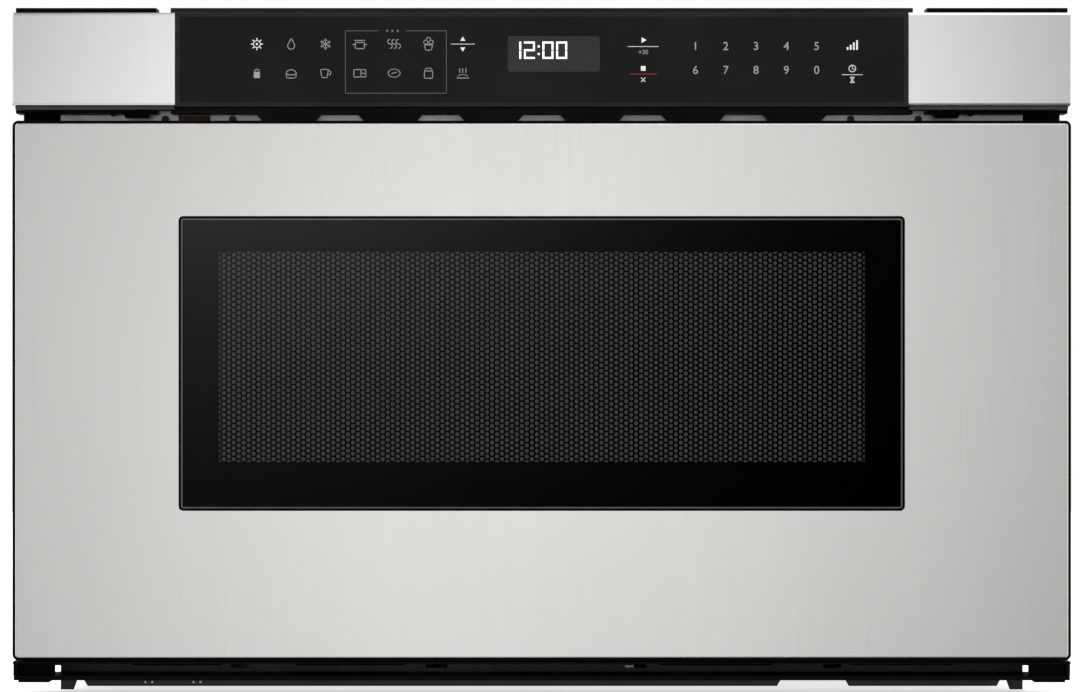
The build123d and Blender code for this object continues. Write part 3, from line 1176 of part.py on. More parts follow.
VENT_PITCH = 9.0
VENT_SLOT = 4.0
SIDE_VENT_SLOTS = 12
SIDE_VENT_TALL = 50.0
SIDE_VENT_INSET = 90.0
REAR_VENT_SLOTS = 11
REAR_VENT_WIDTH = 90.0
REAR_FLANGE = 12.0
SCREW_HOLE = 2.1
SCREW_INSET = 7.0
LOW_SCREW = 50.0            # lowest rear screws above the base pan's underside
HIGH_SCREW = 41.0           # highest side screws below the top of the case
CASE_LENGTH = REAR - PLATE_BACK
SCREW_HEIGHTS = (
    PAN_HEIGHT + LOW_SCREW,
    (PAN_HEIGHT + LOW_SCREW + CHASSIS_TOP - HIGH_SCREW) / 2,
    CHASSIS_TOP - HIGH_SCREW,
)
# Middles of the rear vents and of the screws above them.
REAR_VENTS = (-0.54 * CHASSIS_HALF, 0.54 * CHASSIS_HALF)
REAR_SCREWS = [
    (sign * (CHASSIS_HALF - SCREW_INSET), height) for side, sign in SIDES for height in SCREW_HEIGHTS
] + [(middle, CHASSIS_TOP - SCREW_INSET) for middle in REAR_VENTS]
with BuildPart() as outer_case:
    with BuildSketch(across(PLATE_BACK)):
        with Locations((0, (PAN_HEIGHT + CHASSIS_TOP) / 2)):
            Rectangle(CHASSIS_WIDTH, CHASSIS_TOP - PAN_HEIGHT)
        with Locations((0, (PAN_HEIGHT + CHASSIS_TOP) / 2 - SHEET / 2)):
            Rectangle(CHASSIS_WIDTH - 2 * SHEET, CHASSIS_TOP - PAN_HEIGHT - SHEET, mode=Mode.SUBTRACT)
    extrude(amount=-CASE_LENGTH)
    with BuildSketch(across(REAR - SHEET)):
        with Locations((0, (PAN_HEIGHT + PAN_FLANGE + CHASSIS_TOP) / 2)):
            Rectangle(CHASSIS_WIDTH, CHASSIS_TOP - PAN_HEIGHT - PAN_FLANGE)
        with Locations((0, (PAN_HEIGHT + PAN_FLANGE + CHASSIS_TOP - REAR_FLANGE) / 2)):
            Rectangle(
                CHASSIS_WIDTH - 2 * REAR_FLANGE,
                CHASSIS_TOP - REAR_FLANGE - PAN_HEIGHT - PAN_FLANGE,
                mode=Mode.SUBTRACT,
            )
        with Locations(*REAR_SCREWS):
            Circle(SCREW_HOLE, mode=Mode.SUBTRACT)
    extrude(amount=-SHEET)
    with BuildSketch(Plane.YZ.offset(-CHASSIS_HALF)):
        with Locations((REAR - SIDE_VENT_INSET, FAN_Z)):
            with GridLocations(VENT_PITCH, 0, SIDE_VENT_SLOTS, 1):
                SlotOverall(SIDE_VENT_TALL, VENT_SLOT, rotation=90)
    extrude(amount=CHASSIS_WIDTH, mode=Mode.SUBTRACT)
outer_case.part.label = "outer_case"
export_step(outer_case.part, "parts/outer_case.step")

GLAND_ABOVE = 52.8          # the gland above the base pan
GLAND_RADIUS = 9.0
GLAND_BORE = 4.6
GLAND_NUT = 4.0             # its nuts' half-width past the thread
GLAND_NUT_TALL = 5.0
GLAND_INSIDE = 10.0         # its length inside the rear cover
GLAND_EDGE = 1.5
GLAND_Z = PAN_TOP + GLAND_ABOVE
GLAND_START = REAR - GLAND_INSIDE
GLAND_LENGTH = OVERALL_DEPTH / 2 - GLAND_START
with BuildPart() as rear_cover:
    with BuildSketch(across(REAR)):
        with Locations((0, (PAN_HEIGHT + CHASSIS_TOP) / 2)):
            Rectangle(CHASSIS_WIDTH, CHASSIS_TOP - PAN_HEIGHT)
        with Locations(*REAR_SCREWS):
            Circle(SCREW_HOLE, mode=Mode.SUBTRACT)
        with Locations((FILTER_X, GLAND_Z)):
            Circle(GLAND_RADIUS + FIT, mode=Mode.SUBTRACT)
    extrude(amount=-SHEET)
    with BuildSketch(across(REAR)):
        for middle in REAR_VENTS:
            with Locations((middle, FAN_Z)):
                with GridLocations(0, VENT_PITCH, 1, REAR_VENT_SLOTS):
                    SlotOverall(REAR_VENT_WIDTH, VENT_SLOT)
    extrude(amount=-SHEET, mode=Mode.SUBTRACT)
rear_cover.part.label = "rear_cover"
export_step(rear_cover.part, "parts/rear_cover.step")

with BuildPart() as power_gland:
    for start in (GLAND_START, REAR_OUTSIDE):
        with BuildSketch(across(start)):
            with Locations((FILTER_X, GLAND_Z)):
                RegularPolygon(GLAND_RADIUS + GLAND_NUT, 6)
        extrude(amount=-GLAND_NUT_TALL)
    with BuildSketch(across(GLAND_START)):
        with Locations((FILTER_X, GLAND_Z)):
            Circle(GLAND_RADIUS)
    extrude(amount=-GLAND_LENGTH)
    fillet(power_gland.faces().sort_by(Axis.Y)[-1].edges(), GLAND_EDGE)
    with BuildSketch(across(GLAND_START)):
        with Locations((FILTER_X, GLAND_Z)):
            Circle(GLAND_BORE)
    extrude(amount=-GLAND_LENGTH, mode=Mode.SUBTRACT)
power_gland.part.label = "power_gland"
export_step(power_gland.part, "parts/power_gland.step")

SCREW_HEAD = 4.0
SCREW_HEAD_TALL = 2.2
SCREW_RADIUS = 2.0
SCREW_LENGTH = 8.0
CROSS = 0.9
CROSS_LENGTH = 5.0

# Eight screws hold the rear cover, and four small ones show above the drawer front.
with BuildPart() as case_screws:
    with BuildSketch(across(REAR_OUTSIDE - SCREW_LENGTH)):
        with Locations(*REAR_SCREWS):
            Circle(SCREW_RADIUS)
    extrude(amount=-SCREW_LENGTH)
    with BuildSketch(across(REAR_OUTSIDE)):
        with Locations(*REAR_SCREWS):
            Circle(SCREW_HEAD)
    extrude(amount=-SCREW_HEAD_TALL)
    fillet(case_screws.faces().group_by(Axis.Y)[-1].edges(), SCREW_HEAD_TALL / 2)
    with BuildSketch(across(REAR_OUTSIDE + SCREW_HEAD_TALL - CROSS)):
        with Locations(*REAR_SCREWS):
            Rectangle(CROSS_LENGTH, CROSS)
            Rectangle(CROSS, CROSS_LENGTH)
    extrude(amount=-CROSS, mode=Mode.SUBTRACT)
    with BuildSketch(across(CHASSIS_FRONT)):
        with Locations(*FRONT_SCREWS):
            Circle(FRONT_SCREW_RADIUS)
    extrude(amount=-FRONT_SCREW_LENGTH)
    with BuildSketch(across(CHASSIS_FRONT - FRONT_SCREW_HEAD_TALL)):
        with Locations(*FRONT_SCREWS):
            Circle(FRONT_SCREW_HEAD)
    extrude(amount=-FRONT_SCREW_HEAD_TALL)
case_screws.part.label = "case_screws"
export_step(case_screws.part, "parts/case_screws.step")

# Flanges beside the chassis that are screwed to the cabinet's face.
FLANGE_HOLE_X = 11.75       # holes outside the chassis's side
for side, sign in SIDES:
    with BuildPart() as mounting_flange:
        with BuildSketch(across(CHASSIS_FRONT)):
            with Locations((sign * (CHASSIS_HALF + FLANGE_WIDTH / 2), (FLANGE_BOTTOM + CHASSIS_TOP) / 2)):
                Rectangle(FLANGE_WIDTH, CHASSIS_TOP - FLANGE_BOTTOM)
            for height in HOLE_HEIGHTS:
                with Locations((sign * (CHASSIS_HALF + FLANGE_HOLE_X), height)):
                    Circle(FLANGE_HOLE / 2, mode=Mode.SUBTRACT)
        extrude(amount=-FLANGE_SHEET)
        with BuildSketch(across(CHASSIS_FRONT)):
            with Locations((sign * (CHASSIS_HALF + FLANGE_SHEET / 2), (FLANGE_BOTTOM + CHASSIS_TOP) / 2)):
                Rectangle(FLANGE_SHEET, CHASSIS_TOP - FLANGE_BOTTOM)
        extrude(amount=-FLANGE_LEG)
    mounting_flange.part.label = f"mounting_flange_{side}"
    export_step(mounting_flange.part, f"parts/mounting_flange_{side}.step")

# ---------------------------------------------------------------- control panel

for side, sign in SIDES:
    wing_middle = sign * (STRIP_HALF + WING_WIDTH / 2)
    with BuildPart() as wing:
        with BuildSketch(across(FRONT)):
            with Locations((wing_middle, STRIP_MIDDLE)):
                Rectangle(WING_WIDTH, PANEL_HEIGHT)
        extrude(amount=-WING_DEPTH)
        face = wing.faces().sort_by(Axis.Y)[0]
        fillet(face.edges().filter_by(Axis.X), WING_EDGE)
        outer_edge = wing.faces().sort_by(Axis.Y)[0].edges().filter_by(Axis.Z)
        fillet(outer_edge.sort_by(Axis.X)[-1 if sign > 0 else 0], SKIN_EDGE)
        with BuildSketch(across(FRONT + SKIN)):
            with Locations((wing_middle - sign * SKIN / 2, STRIP_MIDDLE)):
                Rectangle(WING_WIDTH - SKIN, PANEL_HEIGHT - 2 * SKIN)
        extrude(amount=-WING_DEPTH, mode=Mode.SUBTRACT)
    wing.part.label = f"wing_{side}"
    export_step(wing.part, f"parts/wing_{side}.step")

BRACKET_WALL = 2.0
BUMP_TOP = 16.0
BUMP_DROP = 2.8
BUMP_INSET = 11.3           # a bump's middle outside the bracket's inner edge
NUB_INSET = 25.1
NUB_RADIUS = 1.7
for side, sign in SIDES:
    bracket_inside = FACE_HALF - BRACKET_WIDTH
    bracket_middle = sign * (FACE_HALF - BRACKET_WIDTH / 2)
    with BuildPart() as wing_bracket:
        with BuildSketch(across(PANEL_BACK)):
            with Locations((bracket_middle, BRACKET_MIDDLE)):
                Rectangle(BRACKET_WIDTH, BRACKET_HEIGHT)
        extrude(amount=-(CHASSIS_FRONT - PANEL_BACK))
        with BuildSketch(across(PANEL_BACK + BRACKET_WALL)):
            with Locations((bracket_middle, BRACKET_MIDDLE)):
                Rectangle(BRACKET_WIDTH - 2 * BRACKET_WALL, BRACKET_HEIGHT - 2 * BRACKET_WALL)
        extrude(amount=-(CHASSIS_FRONT - PANEL_BACK), mode=Mode.SUBTRACT)
        with BuildSketch(across(PANEL_BACK)):
            with Locations((sign * (bracket_inside + BUMP_INSET), BRACKET_BOTTOM - BUMP_DROP / 2)):
                Trapezoid(BUMP_TOP, BUMP_DROP, 60, rotation=180)
            with Locations((sign * (bracket_inside + NUB_INSET), BRACKET_BOTTOM)):
                Circle(NUB_RADIUS)
        extrude(amount=-BRACKET_WALL)
    wing_bracket.part.label = f"wing_bracket_{side}"
    export_step(wing_bracket.part, f"parts/wing_bracket_{side}.step")

DISPLAY_X = 4.0
DISPLAY_RAISE = 2.75        # display's middle above the strip's middle
DISPLAY_WIDTH = 52.0
DISPLAY_HEIGHT = 20.0
BOARD_SET = 15.0            # the board behind the face
BOARD = 1.6
BOARD_WIDTH = 380.0
BOARD_HEIGHT = 44.0
BOSS_RADIUS = 3.0
BOSS_INSET = 8.0
LOUVRES = 6
LOUVRE_DEPTH = 12.0
HOUSING_SET = 0.3           # the housing's rim behind the face
RIM_ABOVE = 0.5             # and above and below the wings
DISPLAY_Z = STRIP_MIDDLE + DISPLAY_RAISE
BOARD_FRONT = FRONT + BOARD_SET
RIM_HEIGHT = PANEL_HEIGHT + 2 * RIM_ABOVE
STRIP_WEB_FRONT = FRONT + HOUSING_SET + STRIP_GLASS
STRIP_WEB_BACK = STRIP_WEB_FRONT + HOUSING_WALL
with BuildPart() as control_housing:
    with BuildSketch(across(FRONT + HOUSING_SET)):
        with Locations((0, STRIP_MIDDLE)):
            Rectangle(STRIP_WIDTH, RIM_HEIGHT)
    extrude(amount=-(PANEL_BACK - FRONT - HOUSING_SET))
    with BuildSketch(across(PANEL_BACK)):
        with Locations((0, BRACKET_MIDDLE)):
            Rectangle(HOUSING_WIDTH, BRACKET_HEIGHT)
    extrude(amount=-(CHASSIS_FRONT - PANEL_BACK))
    with BuildSketch(across(FRONT + HOUSING_SET)):
        with Locations((0, STRIP_MIDDLE)):
            Rectangle(STRIP_WIDTH - 2 * STRIP_RIM, RIM_HEIGHT - 2 * STRIP_RIM)
    extrude(amount=-STRIP_GLASS, mode=Mode.SUBTRACT)
    with BuildSketch(across(STRIP_WEB_BACK)):
        with Locations((0, STRIP_MIDDLE)):
            Rectangle(STRIP_WIDTH - 2 * HOUSING_WALL, RIM_HEIGHT - 2 * HOUSING_WALL)
    extrude(amount=-(CHASSIS_FRONT - STRIP_WEB_BACK), mode=Mode.SUBTRACT)
    with BuildSketch(across(PANEL_BACK + HOUSING_WALL)):
        with Locations((0, BRACKET_MIDDLE)):
            Rectangle(HOUSING_WIDTH - 2 * HOUSING_WALL, BRACKET_HEIGHT - 2 * HOUSING_WALL)
    extrude(amount=-(CHASSIS_FRONT - PANEL_BACK), mode=Mode.SUBTRACT)
    with BuildSketch(across(STRIP_WEB_BACK)):
        with Locations((0, STRIP_MIDDLE)):
            with GridLocations(BOARD_WIDTH - 2 * BOSS_INSET, BOARD_HEIGHT - BOSS_INSET, 2, 2):
                Circle(BOSS_RADIUS)
    extrude(amount=-(BOARD_FRONT - STRIP_WEB_BACK))
    with BuildSketch(across(STRIP_WEB_FRONT)):
        with Locations((DISPLAY_X, DISPLAY_Z)):
            Rectangle(DISPLAY_WIDTH + 2 * FIT, DISPLAY_HEIGHT + 2 * FIT)
    extrude(amount=-HOUSING_WALL, mode=Mode.SUBTRACT)
    with BuildSketch(across(PANEL_BACK + HOUSING_WALL)):
        with Locations((0, BRACKET_BOTTOM - LOUVRE_DROP / 2)):
            with GridLocations(LOUVRE_PITCH, 0, LOUVRES, 1):
                Trapezoid(LOUVRE_TOP, LOUVRE_DROP, LOUVRE_ANGLE, rotation=180)
    extrude(amount=-LOUVRE_DEPTH)
control_housing.part.label = "control_housing"
export_step(control_housing.part, "parts/control_housing.step")

with BuildPart() as control_glass:
    with BuildSketch(across(FRONT)):
        with Locations((0, STRIP_MIDDLE)):
            RectangleRounded(STRIP_WIDTH - 2 * STRIP_RIM, RIM_HEIGHT - 2 * STRIP_RIM, SKIN_EDGE)
    extrude(amount=-(STRIP_GLASS + HOUSING_SET))
    chamfer(control_glass.faces().sort_by(Axis.Y)[0].edges(), HOUSING_SET)
control_glass.part.label = "control_glass"
export_step(control_glass.part, "parts/control_glass.step")

with BuildPart() as display_module:
    with BuildSketch(across(STRIP_WEB_FRONT)):
        with Locations((DISPLAY_X, DISPLAY_Z)):
            Rectangle(DISPLAY_WIDTH, DISPLAY_HEIGHT)
    extrude(amount=-(BOARD_FRONT - STRIP_WEB_FRONT))
display_module.part.label = "display_module"
export_step(display_module.part, "parts/display_module.step")

RELAY_TALL = 9.0
RELAY = (19.0, 15.0)
RELAY_PITCH = 24.0
BOARD_TRANSFORMER = (42.0, 30.0)
BUZZER_RADIUS = 7.0
with BuildPart() as control_board:
    with BuildSketch(across(BOARD_FRONT)):
        with Locations((0, STRIP_MIDDLE)):
            Rectangle(BOARD_WIDTH, BOARD_HEIGHT)
    extrude(amount=-BOARD)
    with BuildSketch(across(BOARD_FRONT + BOARD)):
        with Locations((-BOARD_WIDTH / 3, STRIP_MIDDLE)):
            Rectangle(*BOARD_TRANSFORMER)
        with Locations((-BOARD_WIDTH / 6, STRIP_MIDDLE + BOARD_HEIGHT / 6)):
            with GridLocations(RELAY_PITCH, 0, 3, 1):
                Rectangle(*RELAY)
        with Locations((BOARD_WIDTH / 4, STRIP_MIDDLE)):
            Circle(BUZZER_RADIUS)
    extrude(amount=-RELAY_TALL)
control_board.part.label = "control_board"
export_step(control_board.part, "parts/control_board.step")

with BuildPart() as panel_back_cover:
    with BuildSketch(across(CHASSIS_FRONT - SHEET)):
        with Locations((0, BRACKET_MIDDLE)):
            Rectangle(
                HOUSING_WIDTH - 2 * HOUSING_WALL - 2 * FIT, BRACKET_HEIGHT - 2 * HOUSING_WALL - 2 * FIT
            )
    extrude(amount=-SHEET)
panel_back_cover.part.label = "panel_back_cover"
export_step(panel_back_cover.part, "parts/panel_back_cover.step")
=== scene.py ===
"""Looks of a built-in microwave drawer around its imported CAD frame. Metres, +Z up, front at -Y."""

import math
from functools import partial

import bmesh
import bpy
from bpy.props import FloatProperty, FloatVectorProperty
from bpy.props import IntProperty, PointerProperty, StringProperty
from bpy.types import Operator, Panel, PropertyGroup
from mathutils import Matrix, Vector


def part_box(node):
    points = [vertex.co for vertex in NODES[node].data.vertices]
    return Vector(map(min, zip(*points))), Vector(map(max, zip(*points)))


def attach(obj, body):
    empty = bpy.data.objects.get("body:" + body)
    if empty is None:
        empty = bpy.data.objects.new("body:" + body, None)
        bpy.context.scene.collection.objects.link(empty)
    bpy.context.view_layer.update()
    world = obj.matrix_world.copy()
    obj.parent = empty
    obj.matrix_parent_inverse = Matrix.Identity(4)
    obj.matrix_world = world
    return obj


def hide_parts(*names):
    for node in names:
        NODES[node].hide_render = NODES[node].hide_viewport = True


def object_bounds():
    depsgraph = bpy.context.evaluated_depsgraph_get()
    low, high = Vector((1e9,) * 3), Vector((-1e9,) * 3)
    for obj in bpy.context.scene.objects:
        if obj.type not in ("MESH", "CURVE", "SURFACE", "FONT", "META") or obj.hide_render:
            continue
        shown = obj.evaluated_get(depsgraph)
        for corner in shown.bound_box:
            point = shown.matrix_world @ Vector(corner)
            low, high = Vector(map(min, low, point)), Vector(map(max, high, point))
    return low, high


bl_info = {
    "name": "Microwave Drawer Looks",
    "version": (1, 0, 0),
    "blender": (4, 5, 0),
    "location": "View3D > Sidebar > Microwave",
    "description": "Finishes, perforated screen, key marks and studio of a microwave drawer",
    "category": "Object",
}

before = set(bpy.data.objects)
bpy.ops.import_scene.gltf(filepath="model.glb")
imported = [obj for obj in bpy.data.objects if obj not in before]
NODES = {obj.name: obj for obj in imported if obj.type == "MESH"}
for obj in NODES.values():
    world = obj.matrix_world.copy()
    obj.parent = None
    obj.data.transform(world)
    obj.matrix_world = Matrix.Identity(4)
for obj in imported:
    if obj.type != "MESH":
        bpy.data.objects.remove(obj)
CAD_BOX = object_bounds()
FACE = CAD_BOX[0].y
MM = 0.001
QUARTER = math.pi / 2
EVEN = (1.0, 1.0, 1.0)
SMOOTH = (0, 0)
NEAR = 1e-6
GRAINS = {}
FINISHES = {}

# The CAD nodes that keep their shape, under the finish that each takes.
CARRIED = {
    "stainless_front": "drawer_front_skin",
    "stainless_wing": "wing_left wing_right",
    "satin_black": "drawer_front_frame bottom_trim wing_bracket_left wing_bracket_right "
    "mounting_flange_left mounting_flange_right",
    "smoked_glass": "inner_window",
    "moulded_black": "control_housing choke_cover interlock_switches power_gland fan_wheel "
    "fan_housing latch_hooks display_module",
    "grey_enamel": "cavity_floor cavity_ceiling cavity_wall_left cavity_wall_right "
    "cavity_back_wall choke_panel",
    "grey_tub": "drawer_floor drawer_side_left drawer_side_right drawer_back",
    "glazed_ceramic": "ceramic_tray",
    "zinc_sheet": "outer_case rear_cover base_pan waveguide panel_back_cover front_plate",
    # A darkened copy of the zinc finish: its dark tone is painted shade.
    "dark_zinc": "base_front_panel case_screws",
    "plated_rail": "outer_rail_left outer_rail_right middle_rail_left middle_rail_right "
    "runner_left runner_right",
    "natural_nylon": "drive_pinion drive_rack switch_plungers",
    "motor_can": "drive_motor stirrer_motor fan_motor",
    "drawn_aluminium": "stirrer hv_capacitor cavity_lamp magnetron",
    "wound_core": "hv_transformer",
    "mica_sheet": "waveguide_cover",
    "circuit_board": "control_board line_filter_board",
}


# -------------------- shader nodes


def add_node(tree, kind, inputs=None, **settings):
    """A shader node with these settings, each input set to a value or linked to an output."""
    node = tree.nodes.new("ShaderNode" + kind)
    for label, value in settings.items():
        setattr(node, label, value)
    for label, value in (inputs or {}).items():
        if isinstance(value, bpy.types.NodeSocket):
            tree.links.new(value, node.inputs[label])
        else:
            node.inputs[label].default_value = value
    return node


def math_node(tree, operation, *values):
    """The result of one operation on values or outputs."""
    return add_node(tree, "Math", dict(enumerate(values)), operation=operation).outputs[0]


def noise(tree, vector, scale, detail=2.0, roughness=0.5):
    """Soft noise over a position."""
    inputs = {"Vector": vector, "Scale": scale, "Detail": detail, "Roughness": roughness}
    return add_node(tree, "TexNoise", inputs).outputs["Fac"]


def cells(tree, vector, output="Distance"):
    """Irregular cells over a position."""
    return add_node(tree, "TexVoronoi", {"Vector": vector, "Scale": 1.0}).outputs[output]


def ramp(tree, value, low, high, before=0.0, after=1.0):
    """The value eased from `before` at low to `after` at high."""
    limits = {"Value": value, "From Min": low, "From Max": high, "To Min": before, "To Max": after}
    return add_node(tree, "MapRange", limits, interpolation_type="SMOOTHSTEP").outputs["Result"]


def clouds(tree, broad, detail=4.0):
    """Soft patches of wear."""
    return ramp(tree, noise(tree, broad, 1.0, detail), 0.3, 0.7)


# -------------------- shader groups


def start_group(name, label, fineness, breadth, fine=EVEN, broad=EVEN):
    """A shader group, with its position drawn out to a fine grain and to broad clouds."""
    tree = bpy.data.node_groups.new(name, "ShaderNodeTree")
    sockets = tree.interface
    sockets.new_socket("Position", in_out="INPUT", socket_type="NodeSocketVector")
    for title, value in ((label, fineness), ("Clouds", breadth)):
        socket = sockets.new_socket(title, in_out="INPUT", socket_type="NodeSocketFloat")
        socket.default_value = value
    for title in ("Tone", "Wear", "Height"):
        sockets.new_socket(title, in_out="OUTPUT", socket_type="NodeSocketFloat")
    start = tree.nodes.new("NodeGroupInput").outputs
    places = []
    for title, stretch in ((label, fine), ("Clouds", broad)):
        inputs = {0: start["Position"], "Scale": start[title]}
        scaled = add_node(tree, "VectorMath", inputs, operation="SCALE").outputs[0]
        drawn = add_node(tree, "VectorMath", {0: scaled, 1: stretch}, operation="MULTIPLY")
        places.append(drawn.outputs[0])
    return tree, *places


def end_group(tree, tone, wear, height):
    """Gives the group its three results."""
    end = tree.nodes.new("NodeGroupOutput")
    for value, socket in zip((tone, wear, height), end.inputs):
        tree.links.new(value, socket)
    return tree


def brushed_group():
    """Long fine scratches along Z, with faint broad clouds between them."""
    tree, lines, broad = start_group(
        "Brushed Grain", "Fineness", 900.0, 7.0, (1.0, 1.0, 0.012), (1.0, 1.0, 0.5)
    )
    tone = noise(tree, lines, 1.0, 4.0, 0.6)
    return end_group(tree, tone, clouds(tree, broad, 3.0), noise(tree, lines, 1.7, 3.0))


def moulded_group():
    """The fine spark-eroded grain of moulded plastic and satin paint, with handling smears."""
    tree, fine, broad = start_group("Moulded Grain", "Fineness", 1600.0, 12.0)
    tone = ramp(tree, noise(tree, broad, 1.0, 5.0), 0.25, 0.75)
    wear = ramp(tree, noise(tree, broad, 2.3, 3.0), 0.35, 0.7)
    return end_group(tree, tone, wear, noise(tree, fine, 1.0))


def spangle_group():
    """Zinc flowers: flat crystals of differing tone with soft borders and a little haze."""
    tree, flowers, broad = start_group("Zinc Spangle", "Crystals", 130.0, 9.0)
    inputs = {0: flowers, 1: noise(tree, flowers, 0.6)}
    bent = add_node(tree, "VectorMath", inputs, operation="ADD").outputs[0]
    shade = add_node(tree, "SeparateColor", {0: cells(tree, bent, "Color")}).outputs[0]
    return end_group(tree, shade, clouds(tree, broad), cells(tree, bent))


def speckle_group():
    """Small dark specks in a glaze or an enamel, over a slight orange-peel surface."""
    tree, fine, broad = start_group("Glaze Speckle", "Specks", 420.0, 14.0)
    tone = ramp(tree, cells(tree, fine), 0.12, 0.34)
    return end_group(tree, tone, clouds(tree, broad), noise(tree, fine, 0.25))


def layered_group():
    """Thin layers across Z, as in a stack of core sheets, a wound coil or cooling fins."""
    tree, fine, broad = start_group("Thin Layers", "Layers", 260.0, 20.0, (0.0, 0.0, 1.0))
    wave = add_node(tree, "TexWave", {"Vector": fine, "Scale": 1.0}, bands_direction="Z")
    return end_group(tree, wave.outputs["Fac"], clouds(tree, broad), wave.outputs["Fac"])


def printed_board_group():
    """Copper tracks under green lacquer: straight runs on a fine grid."""
    tree, fine, broad = start_group("Board Tracks", "Tracks", 330.0, 40.0)
    brick = add_node(tree, "TexBrick", {"Vector": fine, "Scale": 0.6, "Mortar Size": 0.05})
    return end_group(tree, brick.outputs["Fac"], clouds(tree, broad), brick.outputs["Fac"])


# -------------------- finishes


def add_finish(name, grain, tones, roughness, bump=(0.1, 0.02), fine=None, **constants):
    """A material whose grain mixes two tones and two roughnesses and raises a bump in millimetres.

    The CAD nodes that CARRIED lists under its name take it at once.
    """
    if grain not in GRAINS:
        GRAINS[grain] = grain()
    FINISHES[name] = material = bpy.data.materials.new(name)
    material.use_nodes = True
    tree = material.node_tree
    shader = tree.nodes["Principled BSDF"].inputs
    inputs = {"Position": add_node(tree, "TexCoord").outputs["Object"], **(fine or {})}
    pattern = add_node(tree, "Group", inputs, node_tree=GRAINS[grain]).outputs

    colour = add_node(tree, "Mix", {"Factor": pattern["Tone"]}, data_type="RGBA")
    ends = (socket for socket in colour.inputs if socket.type == "RGBA")
    for socket, tone in zip(ends, tones):
        socket.default_value = (*tone, 1.0)
    mixed = next(socket for socket in colour.outputs if socket.type == "RGBA")
    tree.links.new(mixed, shader["Base Color"])

    inputs = {"Value": pattern["Wear"], "To Min": roughness[0], "To Max": roughness[1]}
    rough = add_node(tree, "MapRange", inputs)
    tree.links.new(rough.outputs["Result"], shader["Roughness"])

    if bump[0]:
        inputs = {"Strength": bump[0], "Distance": bump[1] * MM, "Height": pattern["Height"]}
        tree.links.new(add_node(tree, "Bump", inputs).outputs["Normal"], shader["Normal"])
    for label, value in constants.items():
        shader[label.replace("_", " ")].default_value = value
    for node in CARRIED.get(name, "").split():
        for slot in NODES[node].material_slots:
            slot.material = material
    return tree


def grey(value, warmth=0.0):
    """A grey of that strength, a little redder than blue by warmth."""
    return (value * (1 + warmth), value, value * (1 - warmth))


def greys(low, high, warmth=0.0):
    """Two grey tones."""
    return grey(low, warmth), grey(high, warmth)


def shaded(colour, share):
    """The colour times a share."""
    return tuple(channel * share for channel in colour)


def tones_of(colour, share):
    """The colour, after a darker tone of it."""
    return shaded(colour, share), colour


# -------------------- modelling helpers


def clear_selection():
    """Leaves edit mode and deselects all, so that an operator acts on the new piece alone."""
    if bpy.context.object and bpy.context.object.mode != "OBJECT":
        bpy.ops.object.mode_set(mode="OBJECT")
    bpy.ops.object.select_all(action="DESELECT")


def choose(*pieces):
    """Selects these pieces alone, the last one active."""
    clear_selection()
    for piece in pieces:
        piece.select_set(True)
    bpy.context.view_layer.objects.active = pieces[-1]


def settle(piece):
    """Moves a piece's place, turn and size into its mesh."""
    choose(piece)
    bpy.ops.object.transform_apply(location=True, rotation=True, scale=True)
    return piece


def copy(piece):
    """A second piece like it, in the same place."""
    choose(piece)
    bpy.ops.object.duplicate()
    return bpy.context.object


def select_all():
    """Selects all of the open mesh."""
    bpy.ops.mesh.select_all(action="SELECT")


def open_mesh(piece):
    """Enters edit mode on the piece alone, with all of it selected."""
    choose(piece)
    bpy.ops.object.mode_set(mode="EDIT")
    select_all()


def close_mesh():
    """Leaves edit mode."""
    bpy.ops.object.mode_set(mode="OBJECT")


def face_outward():
    """Selects all of the open mesh and turns its faces outward."""
    select_all()
    bpy.ops.mesh.normals_make_consistent(inside=False)


def extrude(x, y, z):
    """Extrudes what is selected in the open mesh."""
    bpy.ops.mesh.extrude_region_move(TRANSFORM_OT_translate={"value": (x, y, z)})


def select_where(piece, kind, test):
    """In edit mode, selects the verts, edges or faces of the piece that pass the test."""
    bpy.ops.mesh.select_mode(type=kind[:-1].upper())
    bpy.ops.mesh.select_all(action="DESELECT")
    shape = bmesh.from_edit_mesh(piece.data)
    for item in getattr(shape, kind):
        if test(item):
            item.select_set(True)
    shape.select_flush_mode()
    bmesh.update_edit_mesh(piece.data)


def use_second_finish(piece, test):
    """In edit mode, gives faces that pass the test the second finish, and the rest the first."""
    for face in bmesh.from_edit_mesh(piece.data).faces:
        face.material_index = 1 if test(face) else 0
    bmesh.update_edit_mesh(piece.data)


def facing_plane(x, y, z, width, height, turn=0.0):
    """A flat rectangle that faces the front, turned by so many degrees."""
    clear_selection()
    turned = (QUARTER, -math.radians(turn), 0)
    bpy.ops.mesh.primitive_plane_add(size=1, location=(x, y, z), rotation=turned)
    plane = bpy.context.object
    plane.scale = (width, height, 1)
    return settle(plane)


def plane_over(low, high, y, inset=0.0):
    """A flat rectangle over the front of a box, smaller by the inset on each side."""
    middle = (low + high) / 2
    size = high - low
    return facing_plane(middle.x, y, middle.z, size.x - 2 * inset, size.z - 2 * inset)


def facing_disc(x, y, z, radius, corners, turn):
    """A flat disc that faces the front, or a polygon if it has few corners."""
    clear_selection()
    turned = (QUARTER, math.radians(turn), 0)
    bpy.ops.mesh.primitive_circle_add(
        vertices=corners, radius=radius, fill_type="NGON", location=(x, y, z), rotation=turned
    )
    return settle(bpy.context.object)


def block(low, high, edge):
    """A block between two corners, its edges eased."""
    clear_selection()
    middle = [(first + second) / 2 for first, second in zip(low, high)]
    bpy.ops.mesh.primitive_cube_add(size=1, location=middle)
    piece = bpy.context.object
    piece.scale = [second - first for first, second in zip(low, high)]
    settle(piece)
    apply_modifier(piece, "BEVEL", width=edge, segments=2)
    return piece


